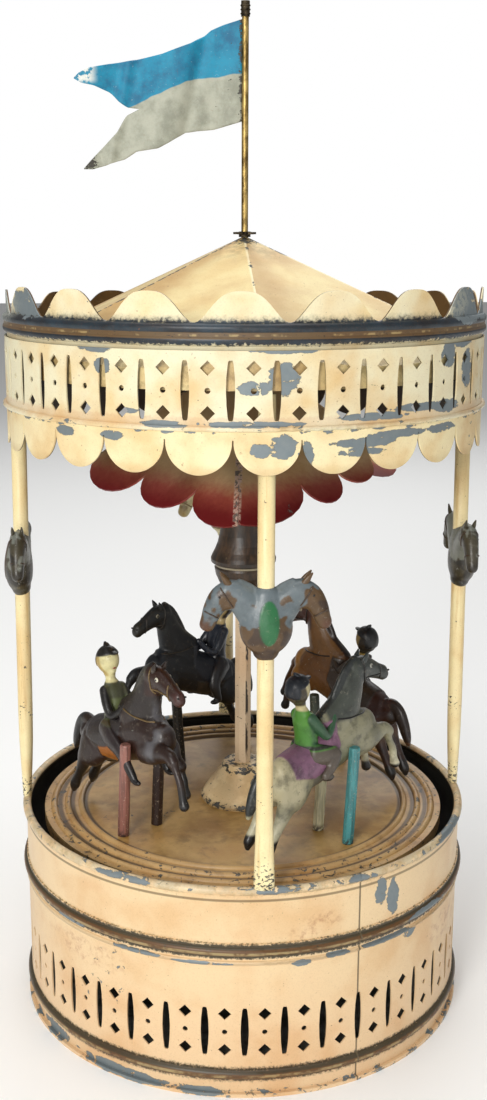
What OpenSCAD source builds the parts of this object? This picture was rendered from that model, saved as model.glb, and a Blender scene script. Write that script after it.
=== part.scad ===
// Clockwork tin carousel: a pierced drum with a spring movement inside, a turning platform with
// four riders on horses, and a pierced canopy ring with a hexagonal roof on four columns.
// Origin: centre of the drum's foot, +Z up. The front column stands on -Y. Millimetres.
// Azimuth 0 is -Y and grows anticlockwise seen from above.

/* [Drum] */
// Outer radius of the drum wall
drum_r = 88; // [87.6:0.1:88.2]
// Height of the drum, to the top of its rolled rim
drum_h = 83.4; // [83:0.1:84]
// Thickness of the sheet metal
tin = 0.8; // [0.7:0.05:0.9]
// Number of slots pierced in the drum and in the canopy ring
slot_count = 38; // [30:1:40]
// Height of one slot
slot_h = 19.4; // [17:0.1:20]
// Width of one slot at its middle
slot_w = 3; // [2:0.1:3.6]

/* [Canopy ring] */
// Outer radius of the pierced ring
ring_r = 90; // [89.8:0.1:90.2]
// Height of the ring's lower bead above the table
ring_z = 245; // [245:0.1:246]
// Number of waves along the cresting
wave_count = 18; // [12:1:20]
// Height of the waves from trough to crest
wave_h = 10; // [6:0.5:10]
// Number of scallops in the valance
scallop_count = 25; // [22:1:28]

/* [Roof and flag] */
// Height of the roof's apex
apex_z = 304.5; // [304:0.1:305]
// Slope of one roof facet in degrees
roof_slope = 24.2; // [24:0.1:24.5]
// Height of the top of the flag pole
pole_top_z = 387; // [380:1:395]

/* [Riders' platform] */
// Radius of the turning platform
platform_r = 80.8; // [80:0.1:81.2]
// Height of the platform's floor
floor_z = 79.5; // [79:0.1:79.8]
// Radius on which the horses stand
horse_r = 52; // [51:0.5:53]

/* [Clockwork] */
// Module of the great wheel and the spindle pinion
great_m = 0.9; // [0.85:0.01:0.92]
// Teeth of the great wheel
great_teeth = 60; // [54:1:60]
// Teeth of the spindle pinion
pinion_teeth = 12; // [12:1:14]
// Turns of the mainspring
spring_turns = 7; // [5:1:8]

/* [Hidden] */
$fn = 96;

// drum levels
drum_in = drum_r - tin;
rim_r = 1.6;
rim_z = drum_h - rim_r;
rim_mid_r = drum_r - 0.2;
drum_bead_z = 58.4;
foot_bead_z = 8.8;
base_z = 16;
drum_slot_z = 26;

// movement levels and places; every wheel axis is [x, y]
lower_z = 20;
upper_z = 52;
plate_t = 1.2;
pillar_r = 2.5;
pillar_places = [[-50, -20], [40, -42], [30, 40], [-50, 41]];
wheel_gap_angle = 150;
spindle_r = 1.5;
spindle_m = 0.7;
spindle_teeth = 60;
train_teeth = 10;
second_angle = -30;
second_m = 0.6;
second_teeth = 50;
fly_angle = -90;
great_c = great_m * (great_teeth + pinion_teeth) / 2;
second_c = spindle_m * (spindle_teeth + train_teeth) / 2;
fly_c = second_m * (second_teeth + train_teeth) / 2;
great_at = great_c * [cos(wheel_gap_angle), sin(wheel_gap_angle)];
second_at = second_c * [cos(second_angle), sin(second_angle)];
fly_at = second_at + fly_c * [cos(fly_angle), sin(fly_angle)];
great_wheel_z = 26;
great_wheel_t = 1.6;
ratchet_z = 28.2;
ratchet_t = 1.6;
ratchet_r = 8;
ratchet_teeth = 16;
spindle_wheel_z = 47;
second_wheel_z = 31;
arbor_r = 2.5;
spring_in = 3;
spring_out = 23;
spring_t = 0.6;
spring_z = 33;
spring_h = 11;
running = 0.05;
plate_low = [-56, -48];
plate_high = [46, 46];
corner_cut = 12;
pivot_r = 1;
fly_pivot_r = 0.8;
top_pivot_r = 1.5;
pillar_foot_r = 1.5;
screw_r = 1;
screw_head_r = 2.6;
bearing_r = 4;
key_z = 5;
key_hub_r = 4;
key_wing_x = 8;
key_wing_r = 4.6;
key_wing_t = 2;
click_r = 11;
click_angle = 60;
train_pinion_t = 4.4;
vane_z = 36;
vane_h = 9;
vane_span = 19;
vane_t = 0.5;
hub_z = 66;
hub_flange_z = 76;
hub_flange_r = 12;
far = 400;

// carousel levels
post_z = 94.8;
baluster_z = 165.5;
baluster_top = 204;
umbrella_apex = 263;
umbrella_slope = 46.4;
umbrella_reach = 80;
spindle_top = 296;
umbrella_az = -7;
horse_az = [-55, 37, 128, 213];
post_gap = 8;
post_lean = 4;
outer_post_top = 118;
inner_post_top = 112;
horse_post_r = 2.3;
plinth_r = 17;
post_r = 3.4;
platform_beads = [66, 71.5, 77];
platform_skirt = 5;
collar_z = 250;
collar_r = 3.2;
seam_lap = 0.35;
seam_gap = 0.05;

// column and ring levels
column_r = 2.95;
column_foot_r = 87.8;
column_lean = 0.6;
column_top = 257;
heads_z = 181;
crest_out = 89;
frieze_h = 26;
crest_z = 289.6;
crest_bead_z = 276;
lip_z = 258;
foot_w = 7.5;
foot_t = 3.8;
foot_h = 12;
crest_bead_r = 1.9;
first_crest = -5.5;
first_slot = -7.75;
first_drum_slot = -4.3;
valance_depth = 20;
bush_z = 286;
roof_r = 88.1;
pole_r = 1.25;
pole_z = 298.5;
finial_z = 381.6;

// ---- helpers ----

// places children at azimuth az, r from the axis, with local -Y facing outwards
module around(az, r = 0, z = 0) rotate([0, 0, az]) translate([0, -r, z]) children();

// a tube standing on z = 0
module tube(r_out, r_in, h) {
    difference() {
        cylinder(r = r_out, h = h);
        translate([0, 0, -1]) cylinder(r = r_in, h = h + 2);
    }
}

// a torus lying flat
module torus(r_mid, r_wire, z) translate([0, 0, z]) rotate_extrude()
    translate([r_mid, 0]) circle(r_wire, $fn = 32);

// one side of a slot's outline, from its narrow end to its wide middle
function slot_side(h, w) = [[0.2 * w, h / 2], [0.3 * w, 0.46 * h], [0.44 * w, 0.25 * h], [w / 2, 0]];
function flip(points, sx, sy) = [for (p = points) [p[0] * sx, p[1] * sy]];
function backwards(list) = [for (i = [len(list) - 1:-1:0]) list[i]];

// outline of one slot: narrow rounded ends and a wide middle
function slot_outline(h, w) = let (s = slot_side(h, w), t = [for (i = [0:2]) s[i]])
    concat(s, backwards(flip(t, 1, -1)), flip(t, -1, -1), [[-w / 2, 0]], backwards(flip(t, -1, 1)));

// prism that cuts an outline through a wall at radius r
module cut_through(r) translate([0, -r + 3, 0]) rotate([90, 0, 0]) linear_extrude(6) children();

// the repeating pattern of slots, diamonds and round holes
module piercing(r, z, first_az, h, w) {
    step = 360 / slot_count;
    diamond = 2.45;
    for (i = [0:slot_count - 1]) {
        around(first_az + i * step, 0, z) cut_through(r) polygon(slot_outline(h, w));
        around(first_az + (i + 0.5) * step, 0, z) {
            cut_through(r) translate([0, 0.375 * h]) circle(diamond, $fn = 4);
            cut_through(r) translate([0, -0.375 * h]) circle(diamond, $fn = 4);
            translate([0, 3 - r, 0]) rotate([90, 0, 0]) cylinder(r = 0.98, h = 6, $fn = 24);
        }
    }
}

// involute of a circle of radius rb, as the angle swept at radius r
function involute(rb, r) = r <= rb ? 0 : sqrt(r * r / (rb * rb) - 1) * 180 / PI - acos(rb / r);

// half the angle of a tooth at radius r, for module m and n teeth
function half_tooth(m, n, r) = let (rp = m * n / 2, rb = rp * cos(20))
    82 / n + involute(rb, rp) - involute(rb, max(r, rb));

// a spur wheel's outline, with a tooth on +X
module gear_outline(m, n) {
    rp = m * n / 2;
    levels = [rp - 1.2 * m, rp * cos(20), rp + 0.1 * m, rp + 0.85 * m];
    polygon([for (k = [0:n - 1], j = [0:7])
        let (i = j < 4 ? j : 7 - j, side = j < 4 ? -1 : 1, r = levels[min(i, 3)],
            a = 360 * k / n + side * half_tooth(m, n, r))
        [max(r, rp - 1.2 * m) * cos(a), max(r, rp - 1.2 * m) * sin(a)]]);
}

// a spur wheel with a round hole, and a tooth pointing along azimuth turn from +X
module gear(m, n, t, bore, turn) {
    difference() {
        rotate([0, 0, turn]) linear_extrude(t) gear_outline(m, n);
        translate([0, 0, -1]) cylinder(r = bore, h = t + 2);
    }
}

// windows that lighten a wheel
module spokes(r_in, r_out, count) {
    for (i = [0:count - 1]) rotate([0, 0, i * 360 / count])
        translate([(r_in + r_out) / 2, 0, -1]) cylinder(r = (r_out - r_in) / 2, h = 6, $fn = 40);
}

// a pivot hole in a plate
module pivot_hole(at, r) translate([at[0], at[1], -5]) cylinder(r = r + running, h = 30, $fn = 32);

// ---- base ----

module base_drum() color("wheat") {
    difference() {
        union() {
            tube(drum_r, drum_in, rim_z);
            torus(rim_mid_r, rim_r, rim_z);
            translate([0, 0, drum_bead_z - 3]) tube(drum_r + 0.6, drum_in, 6);
            torus(drum_r + 0.1, 1.7, drum_bead_z);
            torus(drum_r - 0.4, 2, foot_bead_z);
            torus(drum_r - 0.3, 1.1, 53.6);
            tube(drum_r + 1.4, drum_in, 1.4);
        }
        translate([0, 0, -1]) cylinder(r = drum_in, h = rim_z - 1);
        piercing(drum_r, drum_slot_z, first_drum_slot, slot_h, slot_w);
    }
}

module base_floor() color("silver") {
    difference() {
        translate([0, 0, base_z - 1]) cylinder(r = drum_in, h = 1);
        translate([great_at[0], great_at[1], 0]) cylinder(r = arbor_r + 1, h = 40);
        for (p = pillar_places) translate([p[0], p[1], 0]) cylinder(r = pillar_foot_r, h = 40);
    }
}

// a plate with cut corners; the children are taken out of it
module movement_plate() {
    size = plate_high - plate_low;
    difference() {
        translate([plate_low[0], plate_low[1], 0]) cube([size[0], size[1], plate_t]);
        for (x = [plate_low[0], plate_high[0]], y = [plate_low[1], plate_high[1]])
            translate([x, y, -1]) rotate([0, 0, 45]) translate([-corner_cut / 2, -corner_cut / 2, 0])
                cube([corner_cut, corner_cut, 4]);
        children();
    }
}

module lower_plate() color("darkgoldenrod") translate([0, 0, lower_z]) movement_plate() {
    cylinder(r = bearing_r, h = 30, center = true);
    for (p = pillar_places) translate([p[0], p[1], -1]) cylinder(r = pillar_foot_r, h = 4);
    pivot_hole(great_at, arbor_r);
    pivot_hole(second_at, pivot_r);
    pivot_hole(fly_at, fly_pivot_r);
}

module upper_plate() color("darkgoldenrod") translate([0, 0, upper_z]) movement_plate() {
    for (p = pillar_places) translate([p[0], p[1], -1]) cylinder(r = 1.2, h = 4);
    pivot_hole([0, 0], spindle_r);
    pivot_hole(great_at, top_pivot_r);
    pivot_hole(second_at, pivot_r);
    pivot_hole(fly_at, fly_pivot_r);
}

module plate_pillars() color("goldenrod") {
    for (p = pillar_places) translate([p[0], p[1], 0]) difference() {
        union() {
            translate([0, 0, base_z - 1]) cylinder(r = pillar_foot_r, h = 8);
            translate([0, 0, base_z]) cylinder(r = pillar_r, h = lower_z - base_z);
            translate([0, 0, lower_z + plate_t]) cylinder(r = pillar_r, h = upper_z - lower_z - plate_t);
        }
        translate([0, 0, upper_z - 6]) cylinder(r = screw_r, h = 10);
    }
}

module plate_screws() color("silver") {
    for (p = pillar_places) translate([p[0], p[1], upper_z]) difference() {
        union() {
            translate([0, 0, -5.5]) cylinder(r = screw_r, h = 7);
            translate([0, 0, plate_t]) cylinder(r = screw_head_r, h = 1.6);
        }
        translate([-3, -0.3, plate_t + 0.9]) cube([6, 0.6, 2]);
    }
}

// radius of the mainspring's inner face after a turns; the last stretch runs out to its pillar
function spring_r(a) = spring_in + (spring_out - spring_in) * a / spring_turns
    + 6.9 * pow(max(0, a - spring_turns + 0.15) / 0.15, 2);

module mainspring() color("steelblue") {
    steps = 30 * spring_turns;
    end_angle = atan2(pillar_places[3][1] - great_at[1], pillar_places[3][0] - great_at[0]);
    turns = [for (i = [0:steps]) i / 30];
    ways = [for (a = turns) [cos(end_angle - 360 * a), sin(end_angle - 360 * a)]];
    inner = [for (i = [0:steps]) spring_r(turns[i]) * ways[i]];
    outer = [for (i = [0:steps]) (spring_r(turns[i]) + spring_t) * ways[i]];
    translate([great_at[0], great_at[1], spring_z]) linear_extrude(spring_h)
        polygon(concat(inner, backwards(outer)));
}

module step_bearing() color("gold") {
    difference() {
        translate([0, 0, base_z]) cylinder(r = bearing_r, h = 6);
        translate([0, 0, base_z + 1]) cylinder(r = spindle_r + running, h = 10);
    }
}

// ---- movement ----

module great_wheel() color("goldenrod") translate([great_at[0], great_at[1], great_wheel_z]) {
    turn = wheel_gap_angle + 180 + 180 / great_teeth;
    difference() {
        gear(great_m, great_teeth, great_wheel_t, arbor_r + running, turn);
        rotate([0, 0, 30]) spokes(12, 22, 6);
    }
}

module click() color("silver") translate([great_at[0], great_at[1], 0]) {
    rotate([0, 0, click_angle]) {
        translate([click_r, 0, great_wheel_z + great_wheel_t]) cylinder(r = 1.6, h = 3.2);
        translate([0, 0, ratchet_z]) linear_extrude(ratchet_t)
            polygon([[11.6, -1.8], [11.6, 1], [8, 5.2], [6.9, 4.6], [9.6, -1.4]]);
    }
}

module winding_arbor() color("silver") translate([great_at[0], great_at[1], 0]) {
    translate([0, 0, key_z]) cylinder(r = arbor_r, h = upper_z - 0.5 - key_z);
    translate([0, 0, upper_z - 1]) cylinder(r = top_pivot_r, h = 3.4);
}

module ratchet_wheel() color("silver") translate([great_at[0], great_at[1], ratchet_z]) difference() {
    linear_extrude(ratchet_t) polygon([for (k = [0:ratchet_teeth - 1], j = [0:1])
        let (a = (k + 0.1 + 0.9 * j) * 360 / ratchet_teeth) (ratchet_r - 1.6 * j) * [cos(a), sin(a)]]);
    translate([0, 0, -1]) cylinder(r = arbor_r, h = 6);
}

module winding_key() color("gray") translate([great_at[0], great_at[1], 0]) difference() {
    union() {
        translate([0, 0, key_z]) cylinder(r = key_hub_r, h = 8.4);
        for (side = [-1, 1]) translate([side * key_wing_x, key_wing_t / 2, key_z + 2])
            rotate([90, 0, 0]) cylinder(r = key_wing_r, h = key_wing_t);
        translate([-key_wing_x, -key_wing_t / 2, key_z - 0.6]) cube([2 * key_wing_x, key_wing_t, 5]);
    }
    translate([0, 0, 4]) cylinder(r = arbor_r, h = 12);
    for (side = [-1, 1]) translate([side * (key_wing_x + 0.6), 3, key_z + 2])
        rotate([90, 0, 0]) cylinder(r = 1.6, h = 6);
}

module second_arbor() color("silver") translate([second_at[0], second_at[1], 0]) {
    translate([0, 0, lower_z - 0.8]) cylinder(r = pivot_r, h = upper_z - lower_z + 3);
    translate([0, 0, spindle_wheel_z - 1.5]) linear_extrude(train_pinion_t)
        rotate([0, 0, second_angle + 180 + 180 / train_teeth]) gear_outline(spindle_m, train_teeth);
}

module second_wheel() color("goldenrod") translate([second_at[0], second_at[1], second_wheel_z])
    difference() {
        gear(second_m, second_teeth, 1.2, pivot_r, fly_angle);
        spokes(4, 12, 4);
    }

module fly_arbor() color("silver") translate([fly_at[0], fly_at[1], 0]) {
    translate([0, 0, lower_z - 0.8]) cylinder(r = fly_pivot_r, h = upper_z - lower_z + 3);
    translate([0, 0, second_wheel_z - 1.5]) linear_extrude(4.2)
        rotate([0, 0, fly_angle + 180 + 180 / train_teeth]) gear_outline(second_m, train_teeth);
}

module fly_vanes() color("silver") translate([fly_at[0], fly_at[1], vane_z]) difference() {
    union() {
        cylinder(r = 2, h = vane_h);
        translate([-vane_span / 2, -vane_t / 2, 0]) cube([vane_span, vane_t, vane_h]);
    }
    translate([0, 0, -1]) cylinder(r = fly_pivot_r, h = vane_h + 2);
}

// ---- carousel ----

module spindle() color("silver") {
    translate([0, 0, base_z + 1.1]) cylinder(r = spindle_r, h = spindle_top - base_z - 1.1);
}

module spindle_pinion() color("silver") translate([0, 0, great_wheel_z - 1.5])
    gear(great_m, pinion_teeth, 4.6, spindle_r, wheel_gap_angle);

module spindle_wheel() color("goldenrod") translate([0, 0, spindle_wheel_z]) difference() {
    gear(spindle_m, spindle_teeth, 1.4, spindle_r, second_angle);
    spokes(6, 17, 5);
}

// takes the spindle's bore out of a piece that is pressed on it
module spindle_bore() translate([0, 0, base_z]) cylinder(r = spindle_r, h = spindle_top - base_z);

module platform_hub() color("gold") difference() {
    union() {
        translate([0, 0, hub_z]) cylinder(r = bearing_r, h = hub_flange_z - hub_z);
        translate([0, 0, hub_flange_z]) cylinder(r = hub_flange_r, h = floor_z - tin - hub_flange_z);
    }
    spindle_bore();
}

module platform() color("tan") {
    difference() {
        union() {
            translate([0, 0, floor_z - tin]) cylinder(r = platform_r, h = tin);
            translate([0, 0, floor_z - platform_skirt])
                tube(platform_r, platform_r - tin, platform_skirt);
            for (r = platform_beads) torus(r, 1.3, floor_z - 0.1);
        }
        spindle_bore();
    }
}

module plinth() color("wheat") difference() {
    translate([0, 0, floor_z]) rotate_extrude() polygon([[0, 0], [plinth_r, 0],
        [plinth_r + 0.2, 1.2], [8.6, 13.4], [7.8, post_z - floor_z], [0, post_z - floor_z]]);
    spindle_bore();
}

module centre_post() color("wheat") difference() {
    translate([0, 0, post_z]) rotate([0, 0, 15.5]) cylinder(r = post_r, h = baluster_z - post_z, $fn = 8);
    spindle_bore();
}

// turned from wood: a flared foot, a grooved lip and a full neck
module baluster() color("saddlebrown") difference() {
    translate([0, 0, baluster_z]) rotate_extrude() polygon([[0, 0], [4.2, 0], [7.6, 2.4], [9.6, 5.4],
        [10.9, 8.4], [11.5, 11.4], [11.2, 12.2], [11.6, 12.9], [12.8, 13.8], [12.9, 15.2],
        [12.3, 16.6], [11.2, 18.8], [10.2, 21.4], [9.4, 25], [8.9, 29], [8.5, 33],
        [7.6, baluster_top - baluster_z], [0, baluster_top - baluster_z]]);
    spindle_bore();
}

// lobes along one side of the umbrella, each [middle, half width, depth, slant at its ends]
wide_lobes = [[-24.5, 16.5, 12, 60], [7, 15, 11.5, 62.2], [40, 18, 12.5, 63]];
small_lobes = [[-35, 23, 13, 62.5], [-1.7, 10.3, 10, 61.8], [19, 10.3, 8, 58], [38, 8.7, 7, 55]];

// one flat side: a triangle from the apex with round lobes along its lower edge; lap is the folded seam
module umbrella_side(lobes, lap) {
    spread = cos(umbrella_slope);
    last = lobes[len(lobes) - 1];
    linear_extrude(tin) intersection() {
        offset(delta = lap) polygon([[0, 0], [umbrella_reach * spread, umbrella_reach],
            [-umbrella_reach * spread, umbrella_reach]]);
        polygon(concat([[-umbrella_reach, -1], [-umbrella_reach, lobes[0][3]]],
            [for (lobe = lobes, a = [0:15:180])
                [lobe[0] - (lobe[1] - 0.15) * cos(a), lobe[3] + lobe[2] * sin(a)]],
            [[umbrella_reach, last[3]], [umbrella_reach, -1]]));
    }
}

module umbrella() color("firebrick") difference() {
    for (i = [0:3]) around(umbrella_az - 45 + 90 * i, 0, umbrella_apex)
        rotate([180 + umbrella_slope, 0, 0])
            umbrella_side(i % 2 == 0 ? wide_lobes : small_lobes, i % 2 == 0 ? seam_lap : -seam_gap);
    spindle_bore();
}

module umbrella_collar() color("gold") difference() {
    translate([0, 0, collar_z]) cylinder(r = collar_r, h = 8);
    spindle_bore();
}

// a ball for the blended figures; x is along the way of travel, y inwards, z up
module ball(at, r) translate(at) sphere(r, $fn = 10);

// a limb blended between two balls
module limb(a, ra, b, rb) hull() { ball(a, ra); ball(b, rb); }

// one horse, leaping along +X, in the frame of its station
module horse() translate([0, -horse_r, 0]) {
    limb([9, 0, 121.5], 7.6, [-23, 0, 110.5], 7.4);
    limb([8, 0, 124], 6.6, [13.6, 0, 143.5], 4.2);
    limb([14, 0, 145], 4.1, [26, 0, 140.8], 2.7);
    limb([14.5, 2, 146], 1.4, [15.2, 2.4, 150.6], 0.6);
    limb([14.5, -2, 146], 1.4, [15.2, -2.4, 150.6], 0.6);
    for (side = [-1, 1]) {
        knee = side < 0 ? [23.8, -4.4, 117.6] : [18.5, 4.4, 114];
        hoof = side < 0 ? [31.6, -4.4, 102.8] : [22.6, 4.4, 101.4];
        hock = side < 0 ? [-30, -4.6, 96.5] : [-34, 4.6, 99.5];
        foot = side < 0 ? [-32.6, -4.6, 83.6] : [-43, 4.6, 85.6];
        limb([12, side * 4, 117.5], 4.2, knee, 2.5);
        limb(knee, 2.5, hoof, 1.8);
        limb([-24, side * 4, 107], 5, hock, 2.5);
        limb(hock, 2.5, foot, 1.8);
    }
    limb([-30, 0, 113.5], 2.4, [-38.5, 0, 112.4], 2.4);
    limb([-38.5, 0, 112.4], 2.4, [-42.5, 0, 102], 1.9);
}

// one rider, seated astride, in the same frame
module rider() translate([0, -horse_r, 0]) {
    limb([-14, 0, 119.5], 5, [-17.2, 0, 131.8], 4.8);
    limb([-18.4, 0, 136], 2.2, [-20, 0, 144], 4.4);
    limb([-20, 0, 146], 4.5, [-20.4, 0, 148], 3.6);
    for (side = [-1, 1]) {
        limb([-16.5, side * 4, 133], 2.5, [-6, side * 5.6, 127], 2.2);
        limb([-13.5, side * 4.6, 117], 3.2, [-10.6, side * 8.6, 106], 2.4);
        limb([-10.6, side * 8.6, 106], 2.4, [-8.4, side * 8.8, 103.8], 2);
    }
}

// the two wooden posts that carry one horse by its flanks
module horse_posts() {
    for (side = [-1, 1]) {
        top = side < 0 ? outer_post_top : inner_post_top;
        difference() {
            translate([0, -horse_r + side * post_gap, floor_z]) rotate([0, post_lean, 0])
                translate([0, 0, -1]) cylinder(r = horse_post_r, h = top - floor_z + 1, $fn = 8);
            translate([-20, -90, floor_z - 10]) cube([40, 80, 10]);
        }
    }
}

module station(i) rotate([0, 0, horse_az[i]]) children();

module brown_horse() color("saddlebrown") station(0) horse();
module brown_horse_rider() color("darkolivegreen") station(0) rider();
module brown_horse_posts() color("rosybrown") station(0) horse_posts();
module grey_horse() color("lightgray") station(1) horse();
module grey_horse_rider() color("limegreen") station(1) rider();
module grey_horse_posts() color("lightseagreen") station(1) horse_posts();
module tan_horse() color("peru") station(2) horse();
module tan_horse_rider() color("dimgray") station(2) rider();
module tan_horse_posts() color("slategray") station(2) horse_posts();
module black_horse() color("black") station(3) horse();
module black_horse_rider() color("midnightblue") station(3) rider();
module black_horse_posts() color("darkslategray") station(3) horse_posts();

// ---- columns ----

// the leaning frame of one column: local Z runs up its axis from the top of the rim
module on_column(az) around(az, column_foot_r, drum_h) rotate([-column_lean, 0, 0]) children();

// a round tin tube with a flattened foot that sits over the rolled rim
module column(az) color("wheat") difference() {
    on_column(az) {
        difference() {
            translate([0, 0, 9]) cylinder(r = column_r, h = column_top - drum_h - 9);
            translate([0, 0, 11]) cylinder(r = column_r - 0.6, h = 200);
        }
        translate([-foot_w / 2, -foot_t / 2, -foot_t / 2]) cube([foot_w, foot_t, foot_h]);
    }
    torus(rim_mid_r, rim_r, rim_z);
    translate([0, 0, rim_z - 20]) cylinder(r = rim_mid_r, h = 20);
}

module front_column() column(0);
module right_column() column(90);
module rear_column() column(180);
module left_column() column(270);

// a cast ornament around a column: a shield with a horse's head looking each way
module horse_heads(az) color("sienna") {
    lift = heads_z - drum_h;
    on_column(az) difference() {
        union() {
            hull() {
                translate([0, -0.6, lift + 6.6]) sphere(4.6, $fn = 14);
                translate([0, -0.6, lift - 2.4]) sphere(6.4, $fn = 14);
                translate([0, -0.6, lift - 8.6]) sphere(4.4, $fn = 14);
            }
            for (side = [-1, 1]) {
                limb([side * 4, -0.6, lift + 2.6], 4.4, [side * 11.4, -0.6, lift + 9.2], 3.8);
                limb([side * 12, -0.6, lift + 8.8], 4.1, [side * 19.2, -0.6, lift - 2], 2.5);
                limb([side * 13, -0.6, lift + 12], 1.7, [side * 15.2, -0.6, lift + 15.4], 0.8);
            }
        }
        cylinder(r = column_r + 0.02, h = 160);
    }
}

module front_horse_heads() horse_heads(0);
module right_horse_heads() horse_heads(90);
module rear_horse_heads() horse_heads(180);
module left_horse_heads() horse_heads(270);

// ---- canopy ----

// one wave of the cresting, drawn on the unrolled wall: a broad crest between narrow troughs
module wave(r) {
    half = 180 / wave_count;
    low = crest_z - wave_h;
    points = [for (t = [-1:0.1:1]) [r * sin(half * t),
        low + wave_h * (1 + cos(180 * pow(min(1, abs(t)), 1.5))) / 2]];
    translate([0, 3 - r, 0]) rotate([90, 0, 0]) linear_extrude(6)
        polygon(concat([[-r * sin(half), low - 1]], points, [[r * sin(half), low - 1]]));
}

module canopy_cresting() color("ivory") {
    wall_z = ring_z + frieze_h;
    intersection() {
        translate([0, 0, wall_z - 1.6]) tube(crest_out, crest_out - tin, 40);
        union() {
            translate([0, 0, wall_z - 2]) cylinder(r = ring_r, h = crest_z - wave_h - wall_z + 2);
            for (i = [0:wave_count - 1]) around(first_crest + i * 360 / wave_count) wave(crest_out);
        }
    }
    difference() {
        union() {
            torus(crest_out - 0.4, crest_bead_r, crest_bead_z + crest_bead_r);
            torus(crest_out - 0.4, crest_bead_r, crest_bead_z - crest_bead_r);
            translate([0, 0, crest_bead_z - 1]) tube(crest_out + 1, crest_out - tin, 2);
        }
        translate([0, 0, crest_bead_z - 10]) cylinder(r = crest_out - tin, h = 20);
    }
}

module canopy_frieze() color("ivory") difference() {
    union() {
        translate([0, 0, ring_z]) tube(ring_r, ring_r - tin, frieze_h);
        torus(ring_r + 0.4, 0.9, ring_z + 0.9);
        translate([0, 0, ring_z + frieze_h - tin]) tube(ring_r, crest_out, tin);
    }
    translate([0, 0, ring_z - 1]) cylinder(r = ring_r - tin, h = frieze_h - tin);
    piercing(ring_r, ring_z + 13.2, first_slot, slot_h, slot_w);
}

module canopy_valance() color("ivory") {
    pitch = 360 / scallop_count;
    lobe_r = ring_r * sin(pitch / 2) - 0.25;
    intersection() {
        translate([0, 0, ring_z - valance_depth]) tube(ring_r, ring_r - tin, valance_depth);
        union() {
            translate([0, 0, ring_z - 2.8]) cylinder(r = ring_r + 1, h = 2.8);
            for (i = [0:scallop_count - 1]) around(-0.1 + i * pitch)
                translate([0, 4 - ring_r, ring_z - 3.4]) rotate([90, 0, 0]) cylinder(r = lobe_r, h = 8);
        }
    }
}

// the space under a plane that slopes down outwards from the apex
module under_slope(az, top) around(az, 0, top) rotate([roof_slope, 0, 0])
    translate([-150, -200, -200]) cube([300, 400, 200]);

// the inside of a six-sided pyramid with a round wall of radius r
module pyramid(r, top) intersection() {
    translate([0, 0, lip_z]) cylinder(r = r, h = top - lip_z);
    under_slope(30, top);
    under_slope(90, top);
    under_slope(150, top);
    under_slope(210, top);
    under_slope(270, top);
    under_slope(330, top);
}

module roof() color("burlywood") difference() {
    pyramid(roof_r, apex_z);
    translate([0, 0, -tin]) pyramid(roof_r - 0.6, apex_z);
    cylinder(r = pole_r, h = far);
}

module top_bush() color("gold") difference() {
    union() {
        translate([0, 0, bush_z]) cylinder(r = 3, h = 15);
        translate([0, 0, pole_z + 0.1]) cylinder(r = 7, h = 1);
    }
    translate([0, 0, bush_z - 1]) cylinder(r = spindle_r + running, h = spindle_top - bush_z + 1.5);
    translate([0, 0, pole_z]) cylinder(r = pole_r, h = 10);
}

module pole_collar() color("dimgray") difference() {
    union() {
        translate([0, 0, apex_z + 0.6]) linear_extrude(0.8)
            polygon([for (i = [0:15]) (i % 2 == 0 ? 4.3 : 2.7) * [cos(22.5 * i), sin(22.5 * i)]]);
        translate([0, 0, apex_z - 0.4]) cylinder(r = 2.2, h = 2);
    }
    cylinder(r = pole_r, h = far);
    pyramid(roof_r, apex_z);
}

module flag_pole() color("goldenrod") {
    translate([0, 0, pole_z]) cylinder(r = pole_r, h = finial_z - pole_z);
}

module pole_finial() color("dimgray") {
    translate([0, 0, finial_z]) cylinder(r = 1.6, h = pole_top_z - finial_z);
    for (z = [1, 2.4, 3.8]) torus(1.5, 0.35, finial_z + z);
}

// sideways wave of the flag's sheet, x from the pole
function flutter(x) = 1.8 * sin(x * 10.5) * min(1, x / 14);

module flag() color("steelblue") rotate([0, 0, -5]) intersection() {
    linear_extrude(far) polygon(concat([for (x = [pole_r:2.2:66]) [-x, flutter(x) - 0.3]],
        backwards([for (x = [pole_r:2.2:66]) [-x, flutter(x) + 0.3]])));
    translate([0, 20, 0]) rotate([90, 0, 0]) linear_extrude(40) polygon([[0, 380.8], [-12.6, 376.7],
        [-19.2, 372.5], [-30, 368.6], [-39.5, 366.6], [-57, 363.8], [-62.5, 360.4], [-55, 358],
        [-49.2, 355.5], [-46, 352], [-38.7, 349.7], [-43.5, 347.2], [-46.5, 342], [-52.1, 336.2],
        [-59.3, 328.4], [-55.2, 328.2], [-44.5, 331.7], [-40, 334.9], [-31.9, 335.6], [-28.5, 337.7],
        [-21.9, 341.6], [-11.6, 342.4], [0, 345.6]]);
}

base_drum();
base_floor();
lower_plate();
upper_plate();
plate_pillars();
plate_screws();
mainspring();
step_bearing();
great_wheel();
click();
winding_arbor();
ratchet_wheel();
winding_key();
second_arbor();
second_wheel();
fly_arbor();
fly_vanes();
spindle();
spindle_pinion();
spindle_wheel();
platform_hub();
platform();
plinth();
centre_post();
baluster();
umbrella();
umbrella_collar();
brown_horse();
brown_horse_rider();
brown_horse_posts();
grey_horse();
grey_horse_rider();
grey_horse_posts();
tan_horse();
tan_horse_rider();
tan_horse_posts();
black_horse();
black_horse_rider();
black_horse_posts();
front_column();
right_column();
rear_column();
left_column();
front_horse_heads();
right_horse_heads();
rear_horse_heads();
left_horse_heads();
canopy_cresting();
canopy_frieze();
canopy_valance();
roof();
top_bush();
pole_collar();
flag_pole();
pole_finial();
flag();
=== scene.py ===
"""Looks of the clockwork tin carousel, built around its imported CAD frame.

Lengths are millimetres and azimuths degrees: azimuth 0 is -Y, growing anticlockwise from above.
"""
import math

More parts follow.
